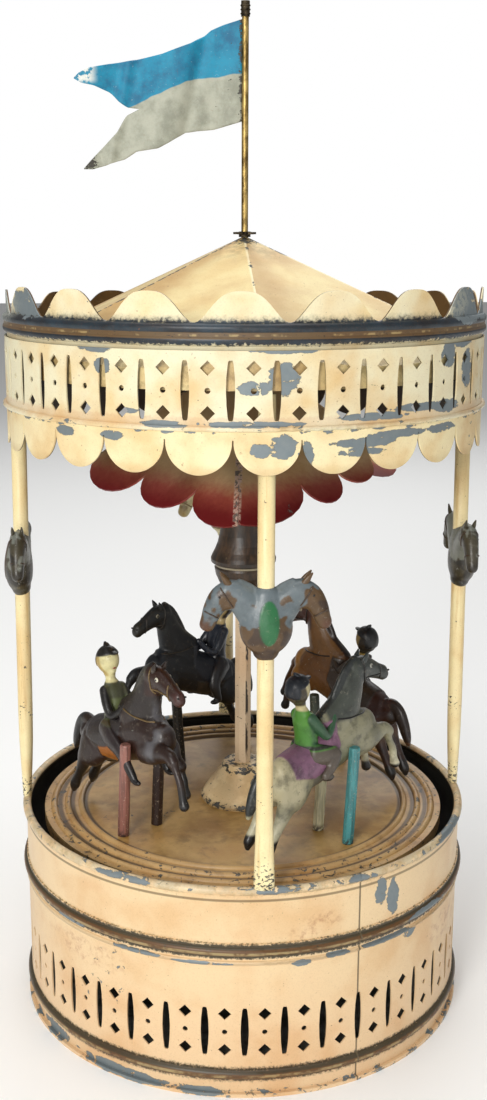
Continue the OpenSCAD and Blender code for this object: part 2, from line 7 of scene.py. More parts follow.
import bmesh
import bpy
import numpy as np
from mathutils import Matrix, Vector, noise
from mathutils.bvhtree import BVHTree


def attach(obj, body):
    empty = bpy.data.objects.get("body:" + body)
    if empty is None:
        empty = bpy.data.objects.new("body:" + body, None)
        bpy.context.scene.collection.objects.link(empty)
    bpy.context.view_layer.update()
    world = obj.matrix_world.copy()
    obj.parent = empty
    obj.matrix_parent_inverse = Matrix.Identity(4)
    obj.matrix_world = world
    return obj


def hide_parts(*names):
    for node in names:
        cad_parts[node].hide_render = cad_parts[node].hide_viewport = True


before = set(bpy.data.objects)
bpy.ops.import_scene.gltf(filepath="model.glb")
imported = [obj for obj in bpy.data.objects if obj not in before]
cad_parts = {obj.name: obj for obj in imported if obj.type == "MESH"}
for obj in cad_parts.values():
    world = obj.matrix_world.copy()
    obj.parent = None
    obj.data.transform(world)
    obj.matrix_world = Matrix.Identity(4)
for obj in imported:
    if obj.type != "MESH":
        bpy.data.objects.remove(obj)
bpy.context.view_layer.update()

MM = 0.001
SAG = 0.026  # the canopy sinks by this much per millimetre towards the back
RING_FRONT = 89.0
ROOF_R = 88.0
CREST_FOOT = 276.0
CREST_RISE = 13.6
SIDES = {"front": 0.0, "right": 90.0, "rear": 180.0, "left": 270.0}
COLUMN_R = 87.8
COLUMN_FOOT = 83.4
COLUMN_LEAN = math.radians(0.6)
HEADS_R = 86.9
POST_GAP = 8.0
POST_FOOT = 79.5
POST_LEAN = math.radians(4.0)
POST_TOPS = {-1: 118.0, 1: 112.0}
FLAG_TURN = math.radians(-5.0)
FLAG_TIN = 0.6


# ---------------------------------------------------------------- colours and nodes
def rgb(red, green, blue):
    """Linear colour of an 8-bit display colour."""
    return tuple(
        (c / 255 / 12.92) if c <= 10 else ((c / 255 + 0.055) / 1.055) ** 2.4 for c in (red, green, blue)
    ) + (1.0,)


CREAM = rgb(232, 204, 160)
TIN_BLUE = rgb(112, 124, 130)
TIN_PALE = rgb(176, 178, 170)
SOOT = rgb(30, 28, 26)
OLIVE = rgb(44, 40, 22)
BROWN = rgb(100, 68, 34)
RUST = rgb(128, 78, 48)


class Paint:
    """One procedural material. Sockets and plain numbers can be mixed freely as arguments."""

    def __init__(self, name):
        self.material = bpy.data.materials.new(name)
        self.material.use_nodes = True
        self.tree = self.material.node_tree
        self.tree.nodes.clear()
        self.shader = self.add("ShaderNodeBsdfPrincipled")
        out = self.add("ShaderNodeOutputMaterial")
        self.tree.links.new(self.shader.outputs[0], out.inputs[0])
        texture = self.add("ShaderNodeTexCoord")
        scale = self.add("ShaderNodeVectorMath", operation="SCALE")
        self.tree.links.new(texture.outputs["Object"], scale.inputs[0])
        scale.inputs["Scale"].default_value = 1 / MM
        self.at = scale.outputs[0]
        split = self.add("ShaderNodeSeparateXYZ")
        self.tree.links.new(self.at, split.inputs[0])
        self.x, self.y, self.z = split.outputs
        self.facing = texture.outputs["Normal"]
        self._polar = None

    def follow_sag(self):
        """Measures z from the canopy's own level, which sinks towards the back."""
        self.z = self.plus(self.z, self.times(self.plus(self.y, RING_FRONT), SAG))

    def add(self, kind, **settings):
        node = self.tree.nodes.new(kind)
        for key, value in settings.items():
            setattr(node, key, value)
        return node

    def put(self, socket, value):
        if isinstance(value, bpy.types.NodeSocket):
            self.tree.links.new(value, socket)
        else:
            socket.default_value = value

    def math(self, operation, a, b=0.0, c=0.0):
        node = self.add("ShaderNodeMath", operation=operation)
        for socket, value in zip(node.inputs, (a, b, c)):
            self.put(socket, value)
        return node.outputs[0]

    def polar(self):
        """Azimuth in degrees and radius from the axis."""
        if self._polar is None:
            back = self.times(self.y, -1.0)
            az = self.times(self.math("ARCTAN2", self.x, back), 180 / math.pi)
            square = self.plus(self.times(self.x, self.x), self.times(self.y, self.y))
            self._polar = az, self.math("SQRT", square)
        return self._polar

    def noise(self, size, detail=3.0, rough=0.5, warp=0.0, stretch=None, shift=0.0):
        """Noise of about 0 to 1 whose largest features are size across."""
        vector = self.at
        if stretch or shift:
            mapping = self.add("ShaderNodeMapping")
            self.put(mapping.inputs["Vector"], vector)
            mapping.inputs["Scale"].default_value = stretch or (1, 1, 1)
            mapping.inputs["Location"].default_value = (shift, shift * 1.7, shift * 0.6)
            vector = mapping.outputs[0]
        node = self.add("ShaderNodeTexNoise")
        self.put(node.inputs["Vector"], vector)
        node.inputs["Scale"].default_value = 1 / size
        node.inputs["Detail"].default_value = detail
        node.inputs["Roughness"].default_value = rough
        node.inputs["Distortion"].default_value = warp
        return node.outputs[0]

    def ease(self, value, low, high):
        """0 below low, 1 above high, smooth between; low may be above high."""
        node = self.add("ShaderNodeMapRange", interpolation_type="SMOOTHSTEP")
        self.put(node.inputs[0], value)
        flip = low > high
        node.inputs[1].default_value = min(low, high)
        node.inputs[2].default_value = max(low, high)
        node.inputs[3].default_value = 1.0 if flip else 0.0
        node.inputs[4].default_value = 0.0 if flip else 1.0
        return node.outputs[0]

    def band(self, value, low, high, soft):
        """1 between low and high, fading over soft on each side."""
        return self.times(self.ease(value, low - soft, low), self.ease(value, high + soft, high))

    def mix(self, amount, a, b):
        node = self.add("ShaderNodeMix", data_type="RGBA")
        self.put(node.inputs[0], amount)
        self.put(node.inputs[6], a)
        self.put(node.inputs[7], b)
        return node.outputs[2]

    def over(self, colour, other, *amounts):
        """colour with the other one over it, as strongly as the product of the amounts."""
        return self.mix(self.times(*amounts), colour, other)

    def tint(self, amount, colour, by):
        """colour multiplied by another one."""
        node = self.add("ShaderNodeMix", data_type="RGBA", blend_type="MULTIPLY")
        self.put(node.inputs[0], amount)
        self.put(node.inputs[6], colour)
        self.put(node.inputs[7], by)
        return node.outputs[2]

    def most(self, *values):
        total = values[0]
        for value in values[1:]:
            total = self.math("MAXIMUM", total, value)
        return total

    def times(self, *values):
        total = values[0]
        for value in values[1:]:
            total = self.math("MULTIPLY", total, value)
        return total

    def plus(self, a, b):
        return self.math("ADD", a, b)

    def minus(self, a, b):
        return self.math("SUBTRACT", a, b)

    def cloud(self, low, high, *size, **more):
        """Noise of the given size, eased from 0 at low to 1 at high."""
        return self.ease(self.noise(*size, **more), low, high)

    def ragged(self, reach, *size):
        """Height with an uneven edge: noise moves it by up to half of reach."""
        return self.plus(self.z, self.times(self.minus(self.noise(*size), 0.5), reach))

    def spots(self, places):
        """1 amid any of the places (azimuth, z, half width in degrees, half height), fading out."""
        az = self.polar()[0]
        found = []
        for centre, z, wide, high in places:
            across = self.math("DIVIDE", self.minus(az, centre), wide)
            up = self.math("DIVIDE", self.minus(self.z, z), high)
            square = self.plus(self.times(across, across), self.times(up, up))
            found.append(self.ease(square, 1.6, 0.2))
        return self.most(*found)

    def lining(self, colour, radius, size, dark, pale):
        """colour with the dull inner face laid over it, inside the radius."""
        inner = self.ease(self.polar()[1], radius, radius - 0.2)
        return self.mix(inner, colour, self.mix(self.noise(size, 4.0, 0.6), dark, pale))

    def finish(self, colour, rough, height=None, depth=0.1, metal=None, coat=None):
        """Links what varies; depth is how far height 1 stands above height 0, in millimetres."""
        self.put(self.shader.inputs["Base Color"], colour)
        self.put(self.shader.inputs["Roughness"], rough)
        if metal is not None:
            self.put(self.shader.inputs["Metallic"], metal)
        if coat is not None:
            self.shader.inputs["Coat Weight"].default_value = coat
            self.shader.inputs["Coat Roughness"].default_value = 0.25
        if height is not None:
            bump = self.add("ShaderNodeBump")
            bump.inputs["Strength"].default_value = 1.0
            bump.inputs["Distance"].default_value = depth * MM
            self.put(bump.inputs["Height"], height)
            self.tree.links.new(bump.outputs[0], self.shader.inputs["Normal"])
        return self.material


def old_paint(paint, colour, wear, metal=TIN_BLUE, edge=SOOT, grain=5.0, base_rough=0.42, seed=0.0,
              fleck=0.5, tone=0.4):
    """Aged enamel over tin: colour, with flecks, and bare metal where wear (0 to 1) beats the noise."""
    field = paint.noise(grain, 5.0, 0.62, 0.4, stretch=(1, 1, 1.7), shift=seed)
    ragged = paint.noise(1.3, 4.0, 0.75, shift=seed + 15.0)
    level = paint.plus(field, paint.times(wear, 0.42))
    level = paint.plus(level, paint.times(paint.minus(ragged, 0.5), 0.16))
    bare = paint.ease(level, 0.78, 0.79)
    rim = paint.ease(level, 0.752, 0.78)
    broad = paint.noise(22.0, 3.0, 0.55, shift=seed + 3.0)
    colour = paint.tint(paint.times(paint.ease(broad, 0.42, 0.7), tone), colour, rgb(226, 190, 142))
    dirt = paint.noise(1.3, 2.0, 0.6, shift=seed + 9.0)
    specks = paint.times(paint.ease(dirt, 0.715, 0.76), fleck)
    colour = paint.mix(specks, colour, RUST)
    soot = paint.noise(0.9, 2.0, 0.6, shift=seed + 19.0)
    colour = paint.over(colour, SOOT, paint.ease(soot, 0.735, 0.765), fleck, 1.5)
    fine = paint.noise(0.6, 3.0, 0.7, shift=seed + 5.0)
    colour = paint.over(colour, RUST, paint.ease(fine, 0.45, 0.8), 0.16)
    colour = paint.over(colour, edge, rim, 0.85)
    metal_tone = paint.mix(paint.noise(2.4, 4.0, 0.6, shift=seed), metal, TIN_PALE)
    metal_tone = paint.mix(0.7, metal_tone, metal)
    colour = paint.mix(bare, colour, metal_tone)
    rough = paint.plus(paint.times(fine, 0.2), base_rough - 0.1)
    rough = paint.plus(rough, paint.times(bare, 0.08))
    body = paint.noise(9.0, 2.0, 0.5, shift=seed + 1.0)
    height = paint.minus(paint.times(body, 0.7), paint.times(bare, 0.45))
    height = paint.plus(height, paint.times(fine, 0.12))
    return colour, rough, height, paint.times(bare, 0.35)


# ---------------------------------------------------------------- tin pieces
def drum_paint():
    p = Paint("drum_enamel")
    az, radius = p.polar()
    z = p.ragged(3.4, 1.1, 3.0, 0.7)
    low = p.ease(p.z, 52.0, 20.0)
    colour = p.mix(p.times(low, 0.7), CREAM, rgb(226, 192, 150))
    blotch = p.noise(30.0, 3.0, 0.6, stretch=(1, 1, 2.2))
    colour = p.over(colour, rgb(228, 190, 146), p.ease(blotch, 0.48, 0.75), 0.4)
    stain = p.spots([(14, 68, 5, 4), (9, 64, 5, 2.5), (-47, 46, 14, 5), (60, 44, 12, 6), (150, 60, 20, 8)])
    colour = p.over(colour, rgb(176, 122, 92), stain, p.cloud(0.45, 0.7, 3.0, 4.0, 0.7), 0.55)
    for z_low, z_high, soft in ((56.2, 60.8, 1.0), (6.8, 10.8, 1.4)):
        colour = p.over(colour, OLIVE, p.band(z, z_low, z_high, soft), 0.96)
        brown = p.times(p.band(p.z, z_low + 0.9, z_high - 1.5, 0.5),
                        p.cloud(0.3, 0.45, 2.0, 4.0, 0.7, stretch=(1, 1, 3)))
        colour = p.over(colour, BROWN, brown, 0.9)
        glint = p.times(p.band(p.z, z_low + 1.4, z_low + 2.2, 0.4),
                        p.cloud(0.38, 0.6, 6.0, 3.0, 0.6, shift=9.0))
        colour = p.over(colour, rgb(176, 156, 110), glint, 0.75)
    colour = p.over(colour, BROWN, p.band(p.z, 53.3, 53.9, 0.3), 0.3)
    colour = p.over(colour, rgb(108, 92, 58), p.band(p.z, 77.8, 78.4, 0.35), 0.75)
    under_rim = p.times(p.ease(z, 79.0, 81.0), p.cloud(0.4, 0.6, 6.0, 4.0, 0.7))
    colour = p.over(colour, rgb(150, 132, 94), under_rim, 0.55)
    seam = p.band(az, 23.7, 24.0, 0.12)
    colour = p.over(colour, rgb(96, 84, 60), seam, 0.85)
    rim = p.ease(p.z, 80.6, 81.8)
    colour = p.over(colour, rgb(206, 192, 160), rim, p.cloud(0.42, 0.6, 4.0, 5.0, 0.75), 0.7)
    wear = p.most(
        p.spots(
            [(33, 53.8, 9, 1.6), (18, 54.0, 3.5, 1.4), (9, 52.8, 2.6, 1.6), (46, 58.5, 9, 1.4),
             (30, 74, 2.0, 6), (34, 70, 2.2, 8),
             (40, 52, 3, 2.5), (-30, 54.0, 7, 0.9), (-15, 53.6, 8, 0.8), (-52, 56, 6, 1.2)]
        ),
        p.times(rim, 0.4),
        p.times(p.spots([(2, 82.4, 5, 2.0), (24, 82, 5, 1.6), (-34, 82, 9, 1.6), (60, 82, 12, 2.4)]), 0.85),
        p.times(p.ease(p.z, 5.0, 2.0), 0.5),
        p.spots([(-35, 2.2, 14, 2.2), (-14, 1.6, 6, 1.8), (-60, 3, 8, 3)]),
        p.times(p.cloud(0.6, 0.75, 40.0, 1.0), 0.32),
    )
    colour, rough, height, metal = old_paint(p, colour, wear)
    inside = p.ease(radius, 87.5, 87.3)
    inside = p.times(inside, p.ease(p.z, 82.6, 81.6))
    dull_tin_and_shade = p.mix(p.noise(14.0, 4.0, 0.6), rgb(13, 14, 12), rgb(28, 28, 24))
    colour = p.mix(inside, colour, dull_tin_and_shade)
    height = p.minus(height, p.times(seam, 1.2))
    return p.finish(colour, rough, height, 0.16, metal)


def ring_band(p, z, colour):
    """The dark painted band with its brown line; z carries the band's ragged edge."""
    night = p.mix(p.cloud(0.4, 0.65, 16.0, 3.0, 0.6, shift=5.0), rgb(22, 28, 34), rgb(30, 48, 60))
    colour = p.mix(p.times(p.ease(z, 272.4, 273.1), p.ease(z, 281.3, 279.7)), colour, night)
    gleam = p.times(p.band(p.z, 276.9, 277.8, 0.5), p.cloud(0.42, 0.6, 7.0, 3.0, 0.6))
    colour = p.over(colour, rgb(70, 92, 104), gleam, 0.18)
    brown = p.times(p.band(p.z, 274.7, 276.6, 0.25), p.cloud(0.3, 0.42, 2.0, 4.0, 0.7, stretch=(1, 1, 3)))
    colour = p.over(colour, rgb(104, 82, 52), brown, 0.92)
    glint = p.times(p.band(p.z, 275.6, 276.0, 0.3), p.cloud(0.5, 0.62, 5.0, 3.0, 0.6, shift=9.0))
    return p.mix(p.times(glint, 0.6), colour, rgb(186, 164, 112))


def frieze_paint():
    p = Paint("frieze_enamel")
    p.follow_sag()
    z = p.ragged(2.6, 1.2, 3.0, 0.7)
    blotch = p.noise(26.0, 3.0, 0.6)
    colour = p.mix(p.ease(blotch, 0.42, 0.68), rgb(230, 222, 188), rgb(224, 198, 146))
    colour = p.over(colour, rgb(196, 140, 104), p.band(z, 246.6, 249.0, 1.2), 0.25)
    colour = ring_band(p, z, colour)
    bare_left = p.spots([(-68, 279, 26, 6.5), (-95, 276, 20, 9)])
    wear = p.most(
        p.times(bare_left, 0.75),
        p.spots(
            [(4, 271.4, 8, 1.6), (3, 262, 3.6, 6), (-3, 259, 4.5, 2.6), (-38, 270.6, 5, 1.4),
             (-36, 265, 2.4, 3.0), (46, 268, 3, 6),
             (52, 272, 7, 3), (55, 262, 3.0, 8), (-4, 247.4, 12, 1.2), (-22, 247.2, 6, 1.3),
             (24, 248.8, 9, 1.5), (36, 250.8, 9, 1.6),
             (46, 250, 6, 2.5), (-30, 251, 3, 1), (130, 262, 12, 8), (-150, 256, 10, 9)]
        ),
        p.times(p.band(p.z, 244.6, 246.4, 0.8), 0.38),
        p.times(p.cloud(0.62, 0.75, 40.0, 1.0), 0.3),
    )
    colour, rough, height, metal = old_paint(p, colour, wear, seed=21.0)
    silver = p.times(bare_left, p.cloud(0.42, 0.5, 1.6, 4.0, 0.75))
    colour = p.over(colour, rgb(166, 168, 154), silver, 0.85)
    colour = p.lining(colour, 89.55, 12.0, rgb(26, 21, 15), rgb(48, 38, 26))
    return p.finish(colour, rough, height, 0.16, metal)


def cresting_paint():
    p = Paint("cresting_enamel")
    p.follow_sag()
    z = p.ragged(4.0, 1.4, 3.0, 0.7)
    colour = p.mix(p.cloud(0.4, 0.7, 20.0, 3.0, 0.6), rgb(234, 224, 188), rgb(228, 206, 154))
    colour = p.over(colour, rgb(110, 112, 96), p.ease(z, 282.6, 280.6), 0.35)
    colour = ring_band(p, z, colour)
    wear = p.most(
        p.spots([(-62, 284, 11, 6), (-84, 284, 9, 7), (55, 284, 9, 8), (66, 281, 12, 4), (150, 285, 16, 6),
                 (-140, 284, 20, 6)]),
        p.times(p.cloud(0.6, 0.75, 30.0, 1.0), 0.4),
    )
    colour, rough, height, metal = old_paint(p, colour, wear, seed=41.0)
    silver = p.times(p.spots([(-84, 283, 16, 7), (50, 285, 6, 5)]), p.cloud(0.42, 0.5, 1.5, 4.0, 0.75))
    colour = p.over(colour, rgb(170, 172, 160), silver, 0.8)
    colour = p.lining(colour, 88.8, 9.0, rgb(58, 40, 18), rgb(104, 76, 38))
    return p.finish(colour, rough, height, 0.14, metal)


def valance_paint():
    p = Paint("valance_enamel")
    p.follow_sag()
    colour = p.mix(p.cloud(0.4, 0.7, 18.0, 3.0, 0.6), rgb(240, 224, 178), rgb(228, 200, 146))
    wear = p.most(
        p.spots(
            [(3, 240, 3.4, 4.5), (-1.5, 239, 2.4, 3), (8, 237, 2.0, 5), (22, 240.5, 9, 2),
             (30, 242.5, 9, 1.6), (20, 237.5, 6, 1.6),
             (44, 242.6, 6, 2), (-34, 242.6, 3, 1.8), (-47, 242.4, 3, 2), (160, 238, 9, 5)]
        ),
        p.times(p.ease(p.z, 243.2, 244.6), 0.55),
        p.times(p.cloud(0.6, 0.75, 30.0, 1.0), 0.34),
    )
    colour = p.over(colour, rgb(178, 146, 92), p.ease(p.z, 234.5, 231.0), 0.3)
    colour, rough, height, metal = old_paint(p, colour, wear, seed=61.0)
    colour = p.lining(colour, 89.55, 9.0, rgb(40, 30, 20), rgb(72, 54, 34))
    return p.finish(colour, rough, height, 0.14, metal)


def roof_paint():
    p = Paint("roof_enamel")
    az, radius = p.polar()
    colour = p.mix(p.cloud(0.38, 0.66, 34.0, 4.0, 0.6), rgb(232, 214, 158), rgb(212, 184, 130))
    turn = p.math("MODULO", p.plus(az, 390.0), 60.0)
    # painted shade: each facet darkens towards the ridge on its left
    shade = p.ease(turn, 58.0, 34.0)
    shade = p.times(shade, p.ease(turn, 29.9, 30.1))
    colour = p.tint(p.times(shade, 0.55), colour, rgb(196, 160, 110))
    fold = p.times(p.math("ABSOLUTE", p.minus(turn, 30.0)), radius)
    ridge = p.ease(fold, 75.0, 15.0)
    # painted highlight along the other side of each ridge
    colour = p.over(colour, rgb(248, 240, 208), p.ease(fold, 60.0, 20.0), p.ease(turn, 30.1, 29.9), 0.7)
    colour = p.over(colour, rgb(120, 100, 62), p.ease(radius, 24.0, 5.0), p.cloud(0.4, 0.6, 5.0, 4.0, 0.7),
                    0.5)
    edge_grime = p.times(p.ease(radius, 72.0, 88.0), p.cloud(0.4, 0.65, 4.0, 4.0, 0.7))
    colour = p.over(colour, rgb(128, 106, 66), edge_grime, 0.5)
    left_ridge = p.times(p.band(az, -64.0, -56.0, 2.0), ridge)
    wear = p.most(
        p.times(ridge, p.cloud(0.42, 0.58, 12.0, 2.0), 0.66),
        p.times(left_ridge, 0.8),
        p.times(p.ease(radius, 9.0, 4.0), 0.75),
        p.times(p.cloud(0.6, 0.75, 40.0, 1.0), 0.25),
    )
    colour, rough, height, metal = old_paint(p, colour, wear, metal=rgb(52, 46, 36), seed=81.0, grain=2.2)
    # painted shade: faces that look downwards, on the roof's underside, are darkened
    split = p.add("ShaderNodeSeparateXYZ")
    p.put(split.inputs[0], p.facing)
    dull_tin_and_shade = p.mix(p.noise(12.0, 4.0, 0.6), rgb(40, 32, 22), rgb(74, 58, 38))
    colour = p.mix(p.ease(split.outputs[2], -0.2, -0.4), colour, dull_tin_and_shade)
    return p.finish(colour, rough, height, 0.18, metal)


def umbrella_paint():
    p = Paint("umbrella_enamel")
    az, radius = p.polar()
    z = p.ragged(4.0, 2.2, 3.0, 0.7)
    cream = p.mix(p.noise(16.0, 3.0, 0.6), rgb(224, 194, 146), rgb(202, 166, 120))
    colour = p.mix(p.ease(z, 224.5, 215.5), cream, rgb(158, 78, 66))
    colour = p.mix(p.ease(z, 218.0, 211.0), colour, rgb(112, 24, 28))
    turned = p.math("ABSOLUTE", p.minus(p.math("MODULO", p.plus(az, 412.0), 90.0), 45.0))
    seam = p.ease(p.times(turned, radius), 90.0, 60.0)
    front = p.band(az, -30.0, 16.0, 3.0)
    solder = p.times(seam, p.math("MAXIMUM", front, 0.25), p.cloud(0.4, 0.55, 1.3, 3.0, 0.7))
    colour = p.mix(solder, colour, rgb(206, 176, 160))
    wear = p.most(p.times(seam, 0.55), p.times(p.cloud(0.6, 0.75, 30.0, 1.0), 0.3))
    colour, rough, height, metal = old_paint(p, colour, wear, metal=rgb(120, 104, 96), seed=101.0, grain=3.0,
                                             fleck=0.3)
    return p.finish(colour, rough, height, 0.16, metal)


def column_paint():
    p = Paint("column_enamel")
    colour = p.mix(p.cloud(0.4, 0.7, 24.0, 3.0, 0.6, stretch=(1, 1, 0.4)), rgb(244, 230, 180),
                   rgb(232, 206, 150))
    streak = p.cloud(0.5, 0.72, 3.0, 4.0, 0.7, stretch=(1, 1, 0.06))
    colour = p.tint(p.times(streak, 0.5), colour, rgb(206, 172, 118))
    wear = p.most(
        p.times(p.ease(p.z, 104.0, 84.0), 0.55),
        p.times(p.cloud(0.5, 0.68, 14.0, 1.0), 0.42),
    )
    colour, rough, height, metal = old_paint(p, colour, wear, metal=rgb(40, 36, 32), seed=121.0, grain=1.6)
    return p.finish(colour, rough, height, 0.08, metal)


def platform_paint():
    p = Paint("platform_enamel")
    radius = p.polar()[1]
    swirl = p.noise(20.0, 4.0, 0.6)
    colour = p.mix(p.ease(swirl, 0.36, 0.66), rgb(168, 128, 66), rgb(206, 168, 104))
    colour = p.over(colour, rgb(200, 166, 118), p.ease(radius, 62.0, 68.0), 0.6)
    grime = p.times(p.cloud(0.5, 0.7, 9.0, 4.0, 0.7), 0.4)
    colour = p.mix(grime, colour, rgb(110, 84, 46))
    for groove in (64.4, 69.6, 74.6):
        colour = p.over(colour, rgb(66, 48, 26), p.band(radius, groove - 0.5, groove + 0.5, 0.9), 0.8)
    wear = p.most(
        p.times(p.ease(radius, 66.0, 72.0), 0.4),
        p.times(p.cloud(0.58, 0.72, 26.0, 1.0), 0.36),
    )
    colour, rough, height, metal = old_paint(p, colour, wear, metal=rgb(58, 50, 42), seed=141.0, grain=2.6)
    return p.finish(colour, rough, height, 0.14, metal)


def plinth_paint():
    p = Paint("plinth_enamel")
    colour = p.mix(p.cloud(0.4, 0.6, 9.0, 3.0, 0.6), rgb(240, 218, 172), rgb(220, 194, 148))
    colour = p.over(colour, rgb(132, 108, 66), p.ease(p.z, 83.5, 80.0), 0.6)
    edge = p.most(p.band(p.z, 92.6, 95.2, 1.2), p.band(p.z, 79.0, 81.6, 1.2))
    chip = p.spots([(30, 87.0, 20, 5.5)])
    wear = p.most(p.times(edge, 0.6), 0.26, p.times(chip, 1.25))
    metal_tone = p.mix(chip, rgb(44, 38, 32), rgb(122, 128, 126))
    colour, rough, height, metal = old_paint(p, colour, wear, metal=metal_tone, seed=161.0, grain=2.4)
    return p.finish(colour, rough, height, 0.3, metal)


def post_paint():
    p = Paint("post_enamel")
    colour = p.mix(p.noise(12.0, 3.0, 0.6), rgb(222, 200, 170), rgb(200, 172, 136))
    streak = p.times(p.band(p.x, 0.9, 1.7, 0.3), p.cloud(0.46, 0.52, 7.0, 4.0, 0.7, stretch=(1, 1, 0.35)),
                     p.ease(p.z, 96.0, 102.0))
    colour = p.over(colour, rgb(20, 16, 14), streak, 0.95)
    wear = p.most(p.times(p.ease(p.x, 2.4, 3.0), 0.4), 0.24)
    colour, rough, height, metal = old_paint(p, colour, wear, metal=rgb(26, 22, 20), seed=181.0, grain=2.0)
    return p.finish(colour, rough, height, 0.2, metal)


def baluster_varnish():
    p = Paint("baluster_varnish")
    grain = p.noise(2.0, 4.0, 0.65, stretch=(1, 1, 0.18))
    colour = p.mix(p.ease(grain, 0.35, 0.7), rgb(40, 32, 24), rgb(70, 52, 36))
    line = p.band(p.z, 178.0, 178.7, 0.3)
    colour = p.over(colour, rgb(170, 160, 136), line, 0.85)
    scuff = p.cloud(0.62, 0.68, 3.0, 5.0, 0.7)
    colour = p.over(colour, rgb(128, 108, 82), scuff, 0.5)
    return p.finish(colour, p.plus(p.times(grain, 0.2), 0.28), grain, 0.12)


def metal_paint(name, light, dark, rough, size=3.0, depth=0.05, metallic=1.0, stretch=None):
    """Bare metal with tarnish."""
    p = Paint(name)
    tarnish = p.noise(size, 5.0, 0.65, 0.3, stretch=stretch)
    colour = p.mix(p.ease(tarnish, 0.36, 0.68), light, dark)
    fine = p.noise(size * 0.2, 3.0, 0.7)
    roughness = p.plus(p.times(fine, 0.25), rough)
    p.shader.inputs["Metallic"].default_value = metallic
    return p.finish(colour, roughness, fine, depth)


def flag_paint():
    p = Paint("flag_enamel")
    # the painted border runs in from the hoist, falling towards the fly
    along = p.times(p.x, -1.0)
    wob = p.times(p.minus(p.noise(7.0, 2.0), 0.5), 1.6)
    drop = p.most(0.0, p.times(p.minus(along, 1.4), 0.15), p.minus(p.times(p.minus(along, 13.0), 0.42), 0.4))
    drop = p.math("MINIMUM", drop, p.plus(p.times(p.minus(along, 20.0), 0.17), 9.4))
    border = p.minus(p.plus(362.3, wob), drop)
    blue_side = p.ease(p.minus(p.z, border), -0.25, 0.25)
    tone = p.noise(9.0, 4.0, 0.65)
    blue = p.mix(p.ease(tone, 0.35, 0.7), rgb(6, 138, 172), rgb(2, 98, 134))
    white = p.mix(p.ease(tone, 0.35, 0.7), rgb(176, 178, 162), rgb(140, 143, 128))
    colour = p.mix(blue_side, white, blue)
    worn = p.times(p.cloud(0.64, 0.72, 1.0, 4.0, 0.75), 0.4)
    colour = p.mix(worn, colour, rgb(226, 226, 210))
    tip = p.times(p.ease(along, 53.0, 57.0), p.ease(along, 62.0, 60.6), p.ease(p.z, 358.0, 360.0),
                  p.cloud(0.4, 0.5, 3.0, 3.0, 0.6))
    colour = p.over(colour, rgb(232, 232, 222), tip, 0.9)
    wear = p.most(
        p.times(p.ease(p.x, -50.0, -58.0), p.ease(p.z, 352.0, 345.0), 0.75),
        p.times(p.ease(along, 3.4, 1.6), 0.72),
        p.times(p.cloud(0.55, 0.72, 16.0, 1.0), 0.3),
    )
    colour, rough, height, metal = old_paint(p, colour, wear, metal=rgb(46, 40, 36), seed=201.0, grain=2.2,
                                             base_rough=0.62, fleck=0.2, tone=0.0)
    return p.finish(colour, rough, height, 0.12, metal)


materials = {
    "base_drum": drum_paint(),
    "umbrella": umbrella_paint(),
    "platform": platform_paint(),
    "plinth": plinth_paint(),
    "centre_post": post_paint(),
    "baluster": baluster_varnish(),
}
brass = metal_paint("clock_brass", rgb(206, 168, 92), rgb(142, 108, 54), 0.28)
steel = metal_paint("clock_steel", rgb(150, 150, 148), rgb(96, 94, 90), 0.3)
tin_plate = metal_paint("bare_tin", rgb(168, 168, 160), rgb(112, 110, 100), 0.4, 12.0)
pole_brass = metal_paint("pole_brass", rgb(206, 178, 112), rgb(96, 74, 40), 0.35, 2.2, stretch=(1, 1, 0.3))
dark_steel = metal_paint("finial_steel", rgb(90, 80, 64), rgb(34, 30, 26), 0.45, 1.5)
for node_name in ("great_wheel", "second_wheel", "spindle_wheel", "umbrella_collar", "top_bush",
                  "platform_hub"):
    materials[node_name] = brass
for node_name in ("click", "ratchet_wheel", "winding_arbor", "winding_key", "second_arbor", "fly_arbor",
                  "spindle",
                  "spindle_pinion", "plate_pillars", "plate_screws", "step_bearing", "fly_vanes",
                  "mainspring"):
    materials[node_name] = steel
for node_name in ("base_floor", "lower_plate", "upper_plate"):
    materials[node_name] = tin_plate
materials["flag_pole"] = pole_brass
materials["pole_finial"] = dark_steel
materials["pole_collar"] = dark_steel

for name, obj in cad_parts.items():
    if name in materials:
        obj.data.materials.clear()
        obj.data.materials.append(materials[name])

# ---------------------------------------------------------------- figures
VOXEL = 0.5
HORSE_R = 52.0
STATIONS = {"brown": -55.0, "grey": 37.0, "tan": 128.0, "black": 213.0}


def smooth_rows(rows, steps):
    """Catmull-Rom rows through the given ones."""
    rows = [np.array(row, float) for row in rows]
    padded = [2 * rows[0] - rows[1]] + rows + [2 * rows[-1] - rows[-2]]
    out = []
    for i in range(1, len(padded) - 2):
        a, b, c, d = padded[i - 1 : i + 3]
        for k in range(steps):
            t = k / steps
            square, cube = (2 * a - 5 * b + 4 * c - d) * t * t, (3 * b - a - 3 * c + d) * t ** 3
            out.append(0.5 * (2 * b + (c - a) * t + square + cube))
    out.append(rows[-1])
    return out


def skin(bm, rings):
    """Closes a tube of faces over rings of equal numbers of points, with a cap at each end."""
    sides = len(rings[0])
    for a, b in zip(rings, rings[1:]):
        for k in range(sides):
            bm.faces.new((a[k], a[(k + 1) % sides], b[(k + 1) % sides], b[k]))
    bm.faces.new(list(reversed(rings[0])))
    bm.faces.new(rings[-1])


